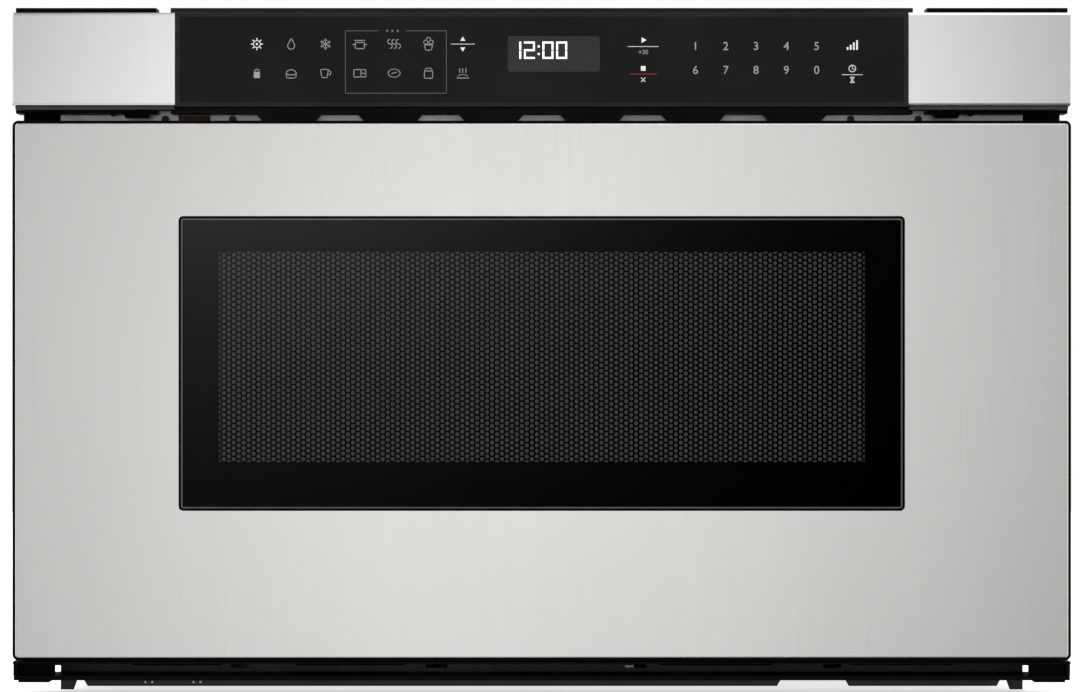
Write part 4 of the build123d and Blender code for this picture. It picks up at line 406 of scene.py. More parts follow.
def deepen(piece, depth, corner, steps=5, edge=0.0):
    """Gives a flat rectangle its depth, round corners and a rounded front edge."""
    open_mesh(piece)
    extrude(0, depth, 0)
    face_outward()
    select_where(
        piece, "edges", lambda side: abs(side.verts[0].co.y - side.verts[1].co.y) > depth / 2
    )
    bpy.ops.mesh.bevel(offset=corner, segments=steps, affect="EDGES")
    if edge:
        select_where(piece, "faces", lambda face: face.normal.y < -0.9)
        bpy.ops.mesh.region_to_loop()
        bpy.ops.mesh.bevel(offset=edge, segments=3, affect="EDGES")


def mirror(piece):
    """Adds the piece's like on the other side of the middle."""
    apply_modifier(piece, "MIRROR", use_mirror_merge=False)
    open_mesh(piece)
    face_outward()
    close_mesh()
    return piece


def repeat(piece, count, step, merge=False):
    """Copies the piece so many times, each a step further."""
    offset = {"use_constant_offset": True, "constant_offset_displace": step}
    merging = {"use_merge_vertices": merge, "merge_threshold": NEAR}
    apply_modifier(piece, "ARRAY", count=count, use_relative_offset=False, **offset, **merging)


def join(pieces):
    """One piece made of several."""
    choose(*pieces)
    if len(pieces) > 1:
        bpy.ops.object.join()
    return bpy.context.object


def apply_modifier(piece, kind, **values):
    """Adds one modifier with these values and applies it."""
    choose(piece)
    bpy.ops.object.modifier_add(type=kind)
    modifier = piece.modifiers[-1]
    for label, value in values.items():
        setattr(modifier, label, value)
    bpy.ops.object.modifier_apply(modifier=modifier.name)


def give_finishes(piece, *finishes):
    """Fills the piece's material slots in this order."""
    for finish in finishes:
        piece.data.materials.append(FINISHES[finish])


def hand_over(piece, name, body, finish=None, replaces=None):
    """Names a finished piece, gives it a finish if one is named, and rides it on its body."""
    settle(piece)
    piece.name = name
    piece.data.name = name
    if finish:
        give_finishes(piece, finish)
    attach(piece, body)
    if replaces:
        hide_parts(replaces)
    clear_selection()
    return piece


# -------------------- settings


def tint(name, description, *colour):
    """A colour setting."""
    return FloatVectorProperty(
        name=name, description=description, subtype="COLOR", default=colour, min=0.0, max=1.0
    )


def metres(name, description, default):
    """A setting in metres."""
    return FloatProperty(name=name, description=description, unit="LENGTH", default=default)


def amount(name, description, default, low=0.0, high=1e6):
    """A setting without a unit."""
    return FloatProperty(name=name, description=description, default=default, min=low, max=high)


class MicrowaveSteelSettings(PropertyGroup):
    """Stainless steel of the drawer front and the wings."""

    front_colour: tint("Front Colour", "Reflection colour of the drawer front", 0.732, 0.722, 0.702)
    wing_colour: tint(
        "Wing Colour", "Reflection colour of the wings beside the keys", 0.84, 0.84, 0.84
    )
    front_roughness: amount("Front Roughness", "Roughness of the drawer front", 0.25, 0.05, 1.0)
    wing_roughness: amount("Wing Roughness", "Roughness of the wings", 0.18, 0.05, 1.0)
    fineness: amount("Fineness", "Scratches per metre across the grain", 600.0, 100.0)


class MicrowaveBlackSettings(PropertyGroup):
    """Black painted and moulded pieces."""

    paint: tint("Paint", "Colour of the black frame, trim and brackets", 0.0016, 0.0016, 0.0017)
    plastic: tint("Plastic", "Colour of the moulded control housing", 0.0155, 0.0155, 0.016)
    # The lips' grey is painted shade: it stands in for the shaded undersides of the wings.
    lip: tint("Lip", "Colour of the grey lips under the wings", 0.042, 0.042, 0.042)


class MicrowaveWindowSettings(PropertyGroup):
    """Window pane, perforated screen and the film behind its holes."""

    columns: IntProperty(
        name="Columns", description="Columns of holes, an odd number", default=131, min=3
    )
    rows: IntProperty(name="Rows", description="Holes in the taller columns", default=39, min=2)
    width: metres("Width", "Width of the perforated area", 0.373)
    height: metres("Height", "Height of the perforated area", 0.12344)
    hole: metres("Hole", "Width of one hole", 0.00236)
    depth: metres("Depth", "Depth of the holes, down to the film", 0.0005)
    lap: metres("Border Lap", "Reach of the printed border over the outermost holes", 0.00142)
    pane_tint: tint(
        "Pane Tint", "Colour that the window pane gives to what is behind it", 0.62, 0.62, 0.63
    )
    sheet_colour: tint("Sheet Colour", "Colour of the perforated sheet", 0.0006, 0.0006, 0.0006)
    film_colour: tint(
        "Film Colour", "Colour of the film that shows through the holes", 0.088, 0.088, 0.088
    )


class MicrowavePanelSettings(PropertyGroup):
    """Control glass, key marks and clock."""

    glass_colour: tint("Glass Colour", "Colour of the black control glass", 0.0052, 0.0052, 0.0052)
    lens_colour: tint("Lens Colour", "Colour of the clock's lens", 0.021, 0.021, 0.0228)
    white_colour: tint("White Colour", "Colour of the main key marks", 0.7, 0.7, 0.7)
    grey_colour: tint(
        "Grey Colour", "Colour of the number keys and the other marks", 0.28, 0.28, 0.28
    )
    frame_colour: tint(
        "Frame Colour", "Colour of the frame around the sensor keys", 0.12, 0.12, 0.12
    )
    stop_colour: tint("Stop Colour", "Colour of the line on the stop key", 0.30, 0.02, 0.02)
    clock: StringProperty(
        name="Clock", description="Figures on the clock, two and two", default="1200"
    )
    clock_glow: amount("Clock Glow", "Strength of the clock's light", 1.0)


class MicrowaveStudioSettings(PropertyGroup):
    """Camera, floor and light."""

    distance: metres("Distance", "Camera to the drawer's face", 2.25)
    field: metres("Field", "Width of the view at the face", 0.6183)
    camera_x: metres("Camera X", "Camera beside the middle", -0.001)
    camera_z: metres("Camera Height", "Camera above the floor", 0.1996)
    panel: amount("Front Panel", "Brightness of the tall panel ahead", 2.07)
    walls: amount("Side Walls", "Brightness of the studio's sides", 1.15)
    glow: amount("Window Glow", "Brightness mirrored in the window", 0.184)
    key: amount("Key", "Power of the overhead panel", 26.0)
    floor_colour: tint("Floor Colour", "Colour of the plain floor", 0.92, 0.92, 0.92)


# -------------------- steel and black pieces


class MICROWAVE_OT_steel(Operator):
    """Finish the drawer front and the wings in brushed stainless steel"""

    bl_idname = "microwave.steel"
    bl_label = "Brushed Stainless Steel"

    def execute(self, context):
        settings = context.scene.microwave_steel
        spread = 0.004
        looks = (
            ("stainless_front", settings.front_colour, settings.front_roughness),
            ("stainless_wing", settings.wing_colour, settings.wing_roughness),
        )
        for name, colour, roughness in looks:
            tree = add_finish(
                name, brushed_group, (shaded(colour, 0.965), shaded(colour, 1.03)),
                (roughness - spread, roughness + spread), (0.01, 0.01),
                {"Fineness": settings.fineness}, Metallic=1.0, Anisotropic=0.3,
            )
            tangent = add_node(tree, "Tangent", direction_type="RADIAL", axis="Z")
            shader = tree.nodes["Principled BSDF"]
            tree.links.new(tangent.outputs["Tangent"], shader.inputs["Tangent"])
        return {"FINISHED"}


class MICROWAVE_OT_black_pieces(Operator):
    """Finish the black frame, trim, brackets and moulded housings"""

    bl_idname = "microwave.black_pieces"
    bl_label = "Black Paint and Plastic"

    def execute(self, context):
        settings = context.scene.microwave_black
        add_finish(
            "satin_black", moulded_group, tones_of(settings.paint, 0.7),
            (0.38, 0.5), (0.12, 0.02), Specular_IOR_Level=0.05,
        )
        add_finish(
            "moulded_black", moulded_group, tones_of(settings.plastic, 0.7),
            (0.45, 0.6), (0.2, 0.03), {"Fineness": 1100.0}, Specular_IOR_Level=0.1,
        )
        return {"FINISHED"}


class MICROWAVE_OT_trim_ends(Operator):
    """Model the end caps of the bottom trim and the grey lips under the wings, whose grey is painted
    shade of the wings' undersides
    """

    bl_idname = "microwave.trim_ends"
    bl_label = "Trim Ends and Wing Lips"

    def execute(self, context):
        underside_shade_colour = context.scene.microwave_black.lip
        add_finish(
            "satin_grey", moulded_group, tones_of(underside_shade_colour, 0.8),
            (0.45, 0.6), Specular_IOR_Level=0.1,
        )
        low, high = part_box("bottom_trim")
        start = (high.x - 2.6 * MM, low.y + 0.6 * MM, low.z + 3.9 * MM)
        stop = (high.x - 0.3 * MM, high.y - 1.5 * MM, high.z - 1.2 * MM)
        cap = block(start, stop, 0.2 * MM)
        hand_over(mirror(cap), "trim_end_caps", "chassis", "satin_black")

        # Grey lips just under the wings. Their grey is painted shade of the wings' undersides.
        low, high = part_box("wing_right")
        start = (low.x + 0.5 * MM, low.y + 2.0 * MM, low.z - 2.1 * MM)
        stop = (high.x - 1.5 * MM, high.y - 0.1 * MM, low.z - 0.05 * MM)
        lip = block(start, stop, 0.3 * MM)
        hand_over(mirror(lip), "wing_lips", "chassis", "satin_grey")
        return {"FINISHED"}


class MICROWAVE_OT_front_plate_pieces(Operator):
    """Model the red-brown terminal block and the rivets on the front of the chassis"""

    bl_idname = "microwave.front_plate_pieces"
    bl_label = "Terminal Block and Rivets"

    def execute(self, context):
        add_finish(
            "red_brown_plastic", moulded_group, ((0.082, 0.038, 0.036), (0.1, 0.047, 0.045)),
            (0.4, 0.55), Specular_IOR_Level=0.2,
        )
        add_finish(
            "green_lead", moulded_group, ((0.05, 0.09, 0.05), (0.06, 0.11, 0.06)),
            (0.4, 0.5), Specular_IOR_Level=0.2,
        )
        add_finish("rivet_steel", brushed_group, greys(0.5, 0.6), (0.3, 0.4), SMOOTH, Metallic=1.0)

        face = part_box("front_plate")[0].y
        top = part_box("drawer_front_skin")[1].z + 6.3 * MM
        bottom = top - 12 * MM
        terminal = block(
            (-211.0 * MM, face - 2.0 * MM, bottom), (-192.5 * MM, face - 0.05 * MM, top), 0.3 * MM
        )
        hand_over(terminal, "terminal_block", "chassis", "red_brown_plastic")
        lead = block(
            (-202.4 * MM, face - 2.4 * MM, bottom), (-200.9 * MM, face - 2.02 * MM, top), 0.15 * MM
        )
        hand_over(lead, "green_lead", "chassis", "green_lead")

        clear_selection()
        bpy.ops.mesh.primitive_cylinder_add(
            vertices=16, radius=0.6 * MM, depth=0.6 * MM,
            location=(-230.3 * MM, face - 0.35 * MM, 4.3 * MM), rotation=(QUARTER, 0, 0),
        )
        rivet = settle(bpy.context.object)
        for step in (4.0, 28.0):
            repeat(rivet, 2, (step * MM, 0, 0))
        hand_over(rivet, "front_rivets", "chassis", "rivet_steel")
        return {"FINISHED"}


# -------------------- window


class MICROWAVE_OT_window_pane(Operator):
    """Model the bevelled window pane and finish the inner window"""

    bl_idname = "microwave.window_pane"
    bl_label = "Window Pane"

    def execute(self, context):
        settings = context.scene.microwave_window
        self.finish_glass(settings)
        low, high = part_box("window_glass")
        back_gap = 0.15 * MM  # room for the printed border
        pane = plane_over(low, high, low.y)
        give_finishes(pane, "window_glass", "ground_edge")
        deepen(pane, high.y - low.y - back_gap, corner=1.5 * MM, steps=4, edge=1.1 * MM)
        # The faces that slant between the front and the sides take the edge finish, whose grey
        # colour is a painted reflection.
        use_second_finish(pane, lambda face: -0.97 < face.normal.y < -0.05)
        close_mesh()
        hand_over(pane, "window_pane", "drawer", replaces="window_glass")
        self.print_border(settings, low, high, high.y - back_gap)
        return {"FINISHED"}

    def finish_glass(self, settings):
        pane_tones = tones_of(settings.pane_tint, 0.97)
        tree = add_finish(
            "window_glass", moulded_group, pane_tones, (0.0, 0.0), SMOOTH,
            {"Clouds": 9.0}, Transmission_Weight=1.0, IOR=1.5,
        )
        # The pane is clear to shadow and diffuse rays, so that light reaches what is behind it.
        path = add_node(tree, "LightPath").outputs
        either = math_node(tree, "MAXIMUM", path["Is Shadow Ray"], path["Is Diffuse Ray"])
        solid = math_node(tree, "SUBTRACT", 1.0, either)
        tree.links.new(solid, tree.nodes["Principled BSDF"].inputs["Alpha"])
        for name, tones, roughness, gloss in (
            ("smoked_glass", greys(0.05, 0.06), (0.06, 0.14), 0.5),
            # The slanted edge faces: rough, and their grey colour is a painted reflection of the
            # bevel.
            ("ground_edge", greys(0.055, 0.065), (0.35, 0.45), 0.3),
            ("border_print", greys(0.0003, 0.0005), (0.5, 0.6), 0.0),
        ):
            add_finish(name, moulded_group, tones, roughness, SMOOTH, Specular_IOR_Level=gloss)

    def print_border(self, settings, low, high, pane_back):
        """The black border printed on the back of the pane, open over the perforated area."""
        edge, inset = 1 * MM, 5 * MM
        border = plane_over(low, high, pane_back + 0.02 * MM, edge)
        open_mesh(border)
        bpy.ops.mesh.inset(thickness=inset)
        inner = high - low
        wide = (settings.width - 2 * settings.lap) / (inner.x - 2 * edge - 2 * inset)
        tall = (settings.height - 2 * settings.lap) / (inner.z - 2 * edge - 2 * inset)
        middle = (low + high) / 2
        rise = sum(corner.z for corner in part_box("window_screen")) / 2 - middle.z
        bpy.ops.transform.resize(value=(wide, 1, tall), center_override=(middle.x, 0, middle.z))
        bpy.ops.transform.translate(value=(0, 0, rise))
        bpy.ops.mesh.delete(type="FACE")
        select_all()
        extrude(0, 0.06 * MM, 0)
        face_outward()
        close_mesh()
        hand_over(border, "window_border", "drawer", "border_print")


class MICROWAVE_OT_perforated_screen(Operator):
    """Model the perforated screen: one hole, copied in staggered columns, in a plain margin"""

    bl_idname = "microwave.perforated_screen"
    bl_label = "Perforated Screen"

    def execute(self, context):
        settings = context.scene.microwave_window
        add_finish(
            "screen_sheet", moulded_group, tones_of(settings.sheet_colour, 0.8),
            (0.4, 0.55), Specular_IOR_Level=0.02,
        )
        add_finish(
            "screen_film", moulded_group, tones_of(settings.film_colour, 0.9),
            (0.5, 0.6), SMOOTH, {"Clouds": 25.0}, Specular_IOR_Level=0.2,
        )
        low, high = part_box("window_screen")
        middle = (low + high) / 2
        pitch_x = settings.width / settings.columns
        pitch_z = settings.height / settings.rows
        left = middle.x - settings.width / 2
        bottom = middle.z - settings.height / 2
        cell = self.model_cell(settings, left, low.y, bottom, pitch_x, pitch_z)

        short = copy(cell)
        repeat(cell, settings.rows, (0, 0, pitch_z), merge=True)
        repeat(short, settings.rows - 1, (0, 0, pitch_z), merge=True)
        short.location = (pitch_x, 0, pitch_z / 2)
        settle(short)
        top = bottom + settings.height
        for end, step in ((bottom + pitch_z / 2, -pitch_z / 2), (top - pitch_z / 2, pitch_z / 2)):
            open_mesh(short)
            select_where(
                short, "edges", lambda edge: all(abs(vert.co.z - end) < NEAR for vert in edge.verts)
            )
            extrude(0, 0, step)
            close_mesh()

        last = copy(cell)
        last.location = ((settings.columns - 1) * pitch_x, 0, 0)
        settle(last)
        pair = join([short, cell])
        repeat(pair, settings.columns // 2, (2 * pitch_x, 0, 0), merge=True)
        screen = join([last, pair])
        open_mesh(screen)
        bpy.ops.mesh.remove_doubles(threshold=5 * NEAR)
        select_where(screen, "edges", lambda edge: edge.is_boundary)
        extrude(0, 0, 0)
        size = high - low
        spread = (size.x / settings.width, 1, size.z / settings.height)
        bpy.ops.transform.resize(value=spread, center_override=(middle.x, low.y, middle.z))
        extrude(0, size.y, 0)
        bpy.ops.mesh.edge_face_add()
        face_outward()
        close_mesh()
        hand_over(
            screen, "perforated_screen", "drawer", replaces="window_screen"
        )
        return {"FINISHED"}

    def model_cell(self, settings, left, front, bottom, pitch_x, pitch_z):
        """One hole in its share of the sheet, with the film at its bottom."""
        centre = (left + pitch_x / 2, front, bottom + pitch_z / 2)
        cell = facing_plane(*centre, pitch_x, pitch_z)
        give_finishes(cell, "screen_sheet", "screen_film")
        open_mesh(cell)
        bpy.ops.mesh.subdivide(number_cuts=1)
        select_where(
            cell, "verts",
            lambda vert: math.hypot(vert.co.x - centre[0], vert.co.z - centre[2]) < NEAR,
        )
        bpy.ops.mesh.dissolve_verts()
        select_all()
        bpy.ops.mesh.select_mode(type="FACE")
        bpy.ops.mesh.inset(thickness=0.3 * MM)
        bpy.ops.transform.tosphere(value=1.0)
        hole = next(face for face in bmesh.from_edit_mesh(cell.data).faces if face.select)
        grow = settings.hole / 2 / (hole.verts[0].co - hole.calc_center_median()).length
        bpy.ops.transform.resize(value=(grow, 1, grow), center_override=centre)
        extrude(0, settings.depth, 0)
        use_second_finish(cell, lambda face: face.select)
        close_mesh()
        return cell


# -------------------- control panel

# Places on the control glass in millimetres, from the middle of the strip.
KEY_COLUMNS = [-163.1 + 19.65 * column for column in range(7)]
KEY_ROWS = (8.6, -8.0)
DIGIT_COLUMNS = [88.0 + 17.35 * column for column in range(5)]
DIGIT_ROWS = (7.2, -6.5)
DIGIT_SIZE = 6.7
DIGIT_BOLDNESS = 0.006
SMALL_DIGIT_SIZE = 3.6
STROKE = 0.42
THIN_STROKE = 0.3
RING_STEPS = 24
ICON_GROW = 1.18
START_X = 58.1
START_DIGITS_Z = 3.9
STOP_LINE_Z = -8.5
POWER_X = 177.8
GROUP_BOX = (-112.4, -54.6, 16.2, -19.5)
GROUP_GAP = (-93.2, -77.8)
LENS_BOX = (-19.4, 33.3, 13.1, -7.2)
PRINT = 0.03 * MM
LAP = 0.02  # where strokes meet, so that no two edges or end faces fall together
GLASS_SET = 0.05 * MM
SAME_POINT = 1e-7


class Printer:
    """Lays flat marks on the control glass, around a place that `move` sets, and joins them."""

    def __init__(self, y, middle_z):
        self.y = y
        self.middle_z = middle_z
        self.marks = []

    def move(self, x, z, grow=1.0, width=STROKE):
        """Sets the place, the size and the stroke of the marks that follow."""
        self.x, self.z, self.grow, self.width = x, z, grow, width
        return self

    def spot(self, x, z):
        """Where a point of the mark lies, in metres."""
        across = (self.x + self.grow * x) * MM
        return across, self.y, self.middle_z + (self.z + self.grow * z) * MM

    def draw(self, strokes):
        """Lays the strokes of a mark: each a kind of stroke and its numbers."""
        for stroke in strokes.split(","):
            kind, *numbers = stroke.split()
            getattr(self, kind)(*map(float, numbers))

    def bar(self, x, z, length, turn=0.0, width=None):
        """A straight stroke with its middle at x, z, turned by so many degrees."""
        size = (length * self.grow * MM, (width or self.width) * MM)
        self.marks.append(facing_plane(*self.spot(x, z), *size, turn))

    def spokes(self, count, first, reach, length, turn=0.0, width=None):
        """Strokes at even angles: around a middle, or crossing in it if they have no reach."""
        full = 360 if reach else 180
        for step in range(int(count)):
            angle = first + step * full / count
            x, z = (reach * ratio(math.radians(angle)) for ratio in (math.cos, math.sin))
            self.bar(x, z, length, angle + turn, width)

    def path(self, *numbers):
        """Straight strokes from point to point."""
        points = list(zip(numbers[::2], numbers[1::2]))
        for (x, z), (next_x, next_z) in zip(points, points[1:]):
            across, up = next_x - x, next_z - z
            length = math.hypot(across, up) + self.width / self.grow - LAP
            turn = math.degrees(math.atan2(up, across))
            self.bar((x + next_x) / 2, (z + next_z) / 2, length, turn)

    def box(self, left, bottom, right, top):
        """The outline of a rectangle."""
        self.path(left, bottom, right, bottom, right, top, left, top, left, bottom)

    def dot(self, x, z, radius, corners=16, turn=0.0):
        """A filled disc, or a filled polygon if it has few corners."""
        radius *= self.grow * MM
        self.marks.append(facing_disc(*self.spot(x, z), radius, int(corners), turn))

    def ring(self, x, z, radius, start=0.0, sweep=360.0, squash=1.0):
        """A round stroke, or an arc of it from a start angle over a sweep, in degrees."""
        reach = radius * self.grow * MM
        clear_selection()
        bpy.ops.mesh.primitive_plane_add(size=STROKE * MM, location=(reach, 0, 0))
        mark = settle(bpy.context.object)
        open_mesh(mark)
        select_where(mark, "verts", lambda vert: vert.co.y > 0)
        bpy.ops.mesh.delete(type="VERT")
        select_all()
        bpy.ops.transform.resize(value=(1, 0, 1), center_override=(reach, 0, 0))
        steps = max(6, int(RING_STEPS * sweep / 360))
        bpy.ops.mesh.spin(
            steps=steps, angle=math.radians(-sweep), center=(0, 0, 0), axis=(0, 0, 1), dupli=False
        )
        merge_points()
        mark.rotation_euler = (0, 0, math.radians(start))
        settle(mark)
        mark.scale = (1, squash, 1)
        mark.rotation_euler = (QUARTER, 0, 0)
        mark.location = self.spot(x, z)
        self.marks.append(settle(mark))

    def wisp(self, x):
        """Two half rings that meet, as steam."""
        self.ring(x, 1.2, 1.1, 90, 180)
        self.ring(x, LAP - 1.0, 1.1, -90, 180)

    def figures(self, text, size):
        """Plain figures, centred on the place."""
        clear_selection()
        bpy.ops.object.text_add(location=self.spot(0, 0), rotation=(QUARTER, 0, 0))
        curve = bpy.context.object.data
        curve.body = text
        curve.size = size * MM
        curve.offset = DIGIT_BOLDNESS * size * MM
        curve.align_x = "CENTER"
        curve.align_y = "CENTER"
        curve.resolution_u = 4
        bpy.ops.object.convert(target="MESH")
        self.marks.append(settle(bpy.context.object))

    def print_as(self, name, finish):
        """Joins the marks into one thin printed piece on the chassis."""
        piece = join(self.marks)
        apply_modifier(piece, "SOLIDIFY", thickness=PRINT, offset=-1.0)
        open_mesh(piece)
        merge_points()
        self.marks = []
        return hand_over(piece, name, "chassis", finish)


def merge_points():
    """Merges points of the open mesh that fall together, then closes it."""
    select_all()
    bpy.ops.mesh.remove_doubles(threshold=SAME_POINT)
    face_outward()
    close_mesh()


# The strokes of each mark, by the method of Printer that draws them, in millimetres and degrees.
MARKS = {
    "cog": "ring 0 0 1.7, dot 0 0 .55, spokes 8 0 2.45 .9 0 .6",
    "drop": "ring 0 -.8 1.7 135 270, path -1.2 .5 0 2.8, path 1.2 .5 0 2.8",
    "flake": "spokes 3 30 0 5.6, spokes 6 30 1.8 1.5 90",
    "pot": "box -2.2 -2.2 2.2 .8, bar 0 1.8 5.2, bar -3 -.2 1, bar 3 -.2 1",
    "steam": "wisp -2, wisp 0, wisp 2",
    "tub": "ring -1.3 .9 1, ring 1.3 .9 1, ring 0 2.2 1, "
    "path -2 -.4 -1.4 -2.9 1.4 -2.9 2 -.4 -2 -.4",
    "slide": "bar 0 0 11.5 0 .3, dot 0 2.3 1.4 3, dot 0 -2.3 1.4 3 180",
    "lock": "dot 0 -.9 2.1 4 45, ring 0 .7 1.15 0 180",
    "bun": "ring 0 -.6 2.5 0 180 .9, bar 0 -.8 5.4, path -2.4 -1.6 -1.9 -2.4 1.9 -2.4 2.4 -1.6",
    "cup": "path -2.4 1.8 -1.8 -2.2 .8 -2.2 1.4 1.8 -2.4 1.8, ring 1.5 .2 1.1 -90 180",
    "tray": "box -2.9 -1.9 2.9 1.7, path .5 1.7 .5 -1.9, path .5 -.1 2.9 -.1",
    "potato": "ring 0 0 2.9 0 360 .68, bar 0 .1 2.6 14",
    "pouch": "box -2 -2.5 2 1, path -2 1 -1.1 2.4 1.1 2.4 2 1",
    "warm": "ring 0 -2.2 2.6 20 140 .6, bar 0 -2.4 5.8, bar -1.5 1.2 2.2 90, bar 0 1.2 2.2 90, "
    "bar 1.5 1.2 2.2 90",
    "go_and_stop": "dot 0 10.9 1.9 3 90, bar 0 7.2 17.5 0 .3, dot 0 -5.3 1.9 4 45, "
    "bar 0 -11.8 3.4 45, bar 0 -11.8 3.4 -45",
    "power_and_timer": "bar -2.7 6.1 1.6 90 1, bar -.9 6.75 2.9 90 1, bar .9 7.4 4.2 90 1, "
    "bar 2.7 8.05 5.5 90 1, ring 0 -5.4 1.9, path 0 -4.3 0 -5.4 .8 -5.9, bar 0 -8.9 12 0 .3, "
    "path -1.2 -10.4 1.2 -10.4 -1.2 -13.4 1.2 -13.4 -1.2 -10.4",
}
# Keys by row and column: those in white, and those in grey.
WHITE_KEYS = ("cog - - - - - slide", "- - - - - - -")
GREY_KEYS = ("- drop flake pot steam tub -", "lock bun cup tray potato pouch warm")


class MICROWAVE_OT_control_glass(Operator):
    """Model the control glass with its eased edges and the lens over the clock"""

    bl_idname = "microwave.control_glass"
    bl_label = "Control Glass"

    def execute(self, context):
        settings = context.scene.microwave_panel
        add_finish(
            "control_glass", moulded_group, tones_of(settings.glass_colour, 0.92),
            (0.22, 0.3), SMOOTH, {"Clouds": 6.0}, Specular_IOR_Level=0.1,
        )
        add_finish(
            "clock_lens", moulded_group, tones_of(settings.lens_colour, 0.95),
            (0.2, 0.28), SMOOTH, Specular_IOR_Level=0.15,
        )
        low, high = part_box("control_glass")
        front = low.y + GLASS_SET
        glass = plane_over(low, high, front)
        deepen(glass, high.y - front, corner=0.8 * MM, edge=0.5 * MM)
        close_mesh()
        hand_over(
            glass, "control_glass_pane", "chassis", "control_glass", "control_glass"
        )

        left, right, top, bottom = (value * MM for value in LENS_BOX)
        rise = (low.z + high.z) / 2 + (top + bottom) / 2
        lens = facing_plane((left + right) / 2, front - PRINT / 2, rise, right - left, top - bottom)
        deepen(lens, PRINT, corner=1.6 * MM)
        close_mesh()
        hand_over(lens, "clock_lens", "chassis", "clock_lens")
        return {"FINISHED"}


class MICROWAVE_OT_key_marks(Operator):
    """Print plain marks and figures where the keys are"""

    bl_idname = "microwave.key_marks"
    bl_label = "Key Marks"

    def execute(self, context):
        settings = context.scene.microwave_panel
        for ink in ("white", "grey", "frame", "stop"):
            tones = tones_of(getattr(settings, ink + "_colour"), 0.94)
            add_finish(
                ink + "_ink", moulded_group, tones, (0.4, 0.5), SMOOTH, Specular_IOR_Level=0.2
            )
        low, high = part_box("control_glass")
        pen = Printer(low.y + PRINT / 2, (low.z + high.z) / 2)
        self.draw_keys(pen, WHITE_KEYS)
        pen.move(START_X, 0).draw(MARKS["go_and_stop"])
        pen.move(POWER_X, 0).draw(MARKS["power_and_timer"])
        pen.print_as("white_marks", "white_ink")

        self.draw_keys(pen, GREY_KEYS)
        for row, texts in zip(DIGIT_ROWS, ("12345", "67890")):
            for column, text in zip(DIGIT_COLUMNS, texts):
                pen.move(column, row).figures(text, DIGIT_SIZE)
        pen.move(START_X, START_DIGITS_Z).figures("+30", SMALL_DIGIT_SIZE)
        pen.print_as("grey_marks", "grey_ink")

        self.draw_group_box(pen.move(0, 0, width=THIN_STROKE))
        pen.print_as("group_frame", "frame_ink")
        pen.move(START_X, STOP_LINE_Z, width=0.35).bar(0, 0, 15.5)
        pen.print_as("stop_line", "stop_ink")
        return {"FINISHED"}

    def draw_keys(self, pen, rows):
        for row, names in zip(KEY_ROWS, rows):
            for column, name in zip(KEY_COLUMNS, names.split()):
                if name in MARKS:
                    pen.move(column, row, ICON_GROW).draw(MARKS[name])

    def draw_group_box(self, pen):
        """A thin frame around the six sensor keys, with three dots in a gap of its top line."""
        left, right, top, bottom = GROUP_BOX
        pen.path(GROUP_GAP[0], top, left, top, left, bottom)
        pen.path(left, bottom, right, bottom, right, top, GROUP_GAP[1], top)
        for offset in (-3.0, 0.0, 3.0):
            pen.dot(sum(GROUP_GAP) / 2 + offset, top, 0.7)


# Segments of a clock figure: place in half figures, and for upright ones the level one they meet.
SEGMENTS = {
    "a": (0, 1, None), "d": (0, -1, None), "g": (0, 0, None), "b": (1, 0.5, "a"),
    "c": (1, -0.5, "d"), "e": (-1, -0.5, "d"), "f": (-1, 0.5, "a"),
}
# The segments that each figure lights, from 0 to 9, in the order in which they are drawn.
FIGURES = "abcdef bc abged abgcd fgbc afgcd afgedc abc abcdefg abcdfg".split()
FIGURE_PLACES = (-14.9, -7.05, 3.55, 11.4)
COLON_X = -1.75
COLON_RISE = 2.15
COLON_RADIUS = 0.65
CLOCK_RISE = 5.1
HALF_WIDTH = 2.6
HALF_HEIGHT = 4.4
SEGMENT_STROKE = 1.05
SEGMENT_GAP = 0.26


class MICROWAVE_OT_clock(Operator):
    """Light the clock's seven-segment figures"""

    bl_idname = "microwave.clock"
    bl_label = "Clock Figures"

    def execute(self, context):
        settings = context.scene.microwave_panel
        if len(settings.clock) != 4 or not set(settings.clock) <= set("0123456789"):
            raise ValueError("the clock takes four figures")
        add_finish(
            "clock_light", moulded_group, greys(0.55, 0.6), (0.4, 0.5), SMOOTH,
            Emission_Color=(0.93, 0.96, 1.0, 1.0), Emission_Strength=settings.clock_glow,
        )
        low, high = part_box("control_glass")
        pen = Printer(low.y + GLASS_SET - PRINT, (low.z + high.z) / 2)
        for figure, place in zip(settings.clock, FIGURE_PLACES):
            pen.move(place, CLOCK_RISE, width=SEGMENT_STROKE)
            self.draw_figure(pen, FIGURES[int(figure)])
        for rise in (-COLON_RISE, COLON_RISE):
            pen.move(COLON_X, CLOCK_RISE + rise).dot(0, 0, COLON_RADIUS, 12)
        pen.print_as("clock_figures", "clock_light")
        return {"FINISHED"}

    def draw_figure(self, pen, labels):
        half_stroke = SEGMENT_STROKE / 2
        for label in labels:
            across, up, meets = SEGMENTS[label]
            if not meets:
                pen.bar(0, up * HALF_HEIGHT, 2 * HALF_WIDTH + SEGMENT_STROKE)
                continue
            start = SEGMENT_GAP + (half_stroke if "g" in labels else 0)
            stop = HALF_HEIGHT + half_stroke
            if meets in labels:
                stop = HALF_HEIGHT - half_stroke + LAP
            rise = math.copysign(start + stop, up) / 2
            pen.bar(across * HALF_WIDTH, rise, stop - start, 90)


# -------------------- inside the drawer and behind it


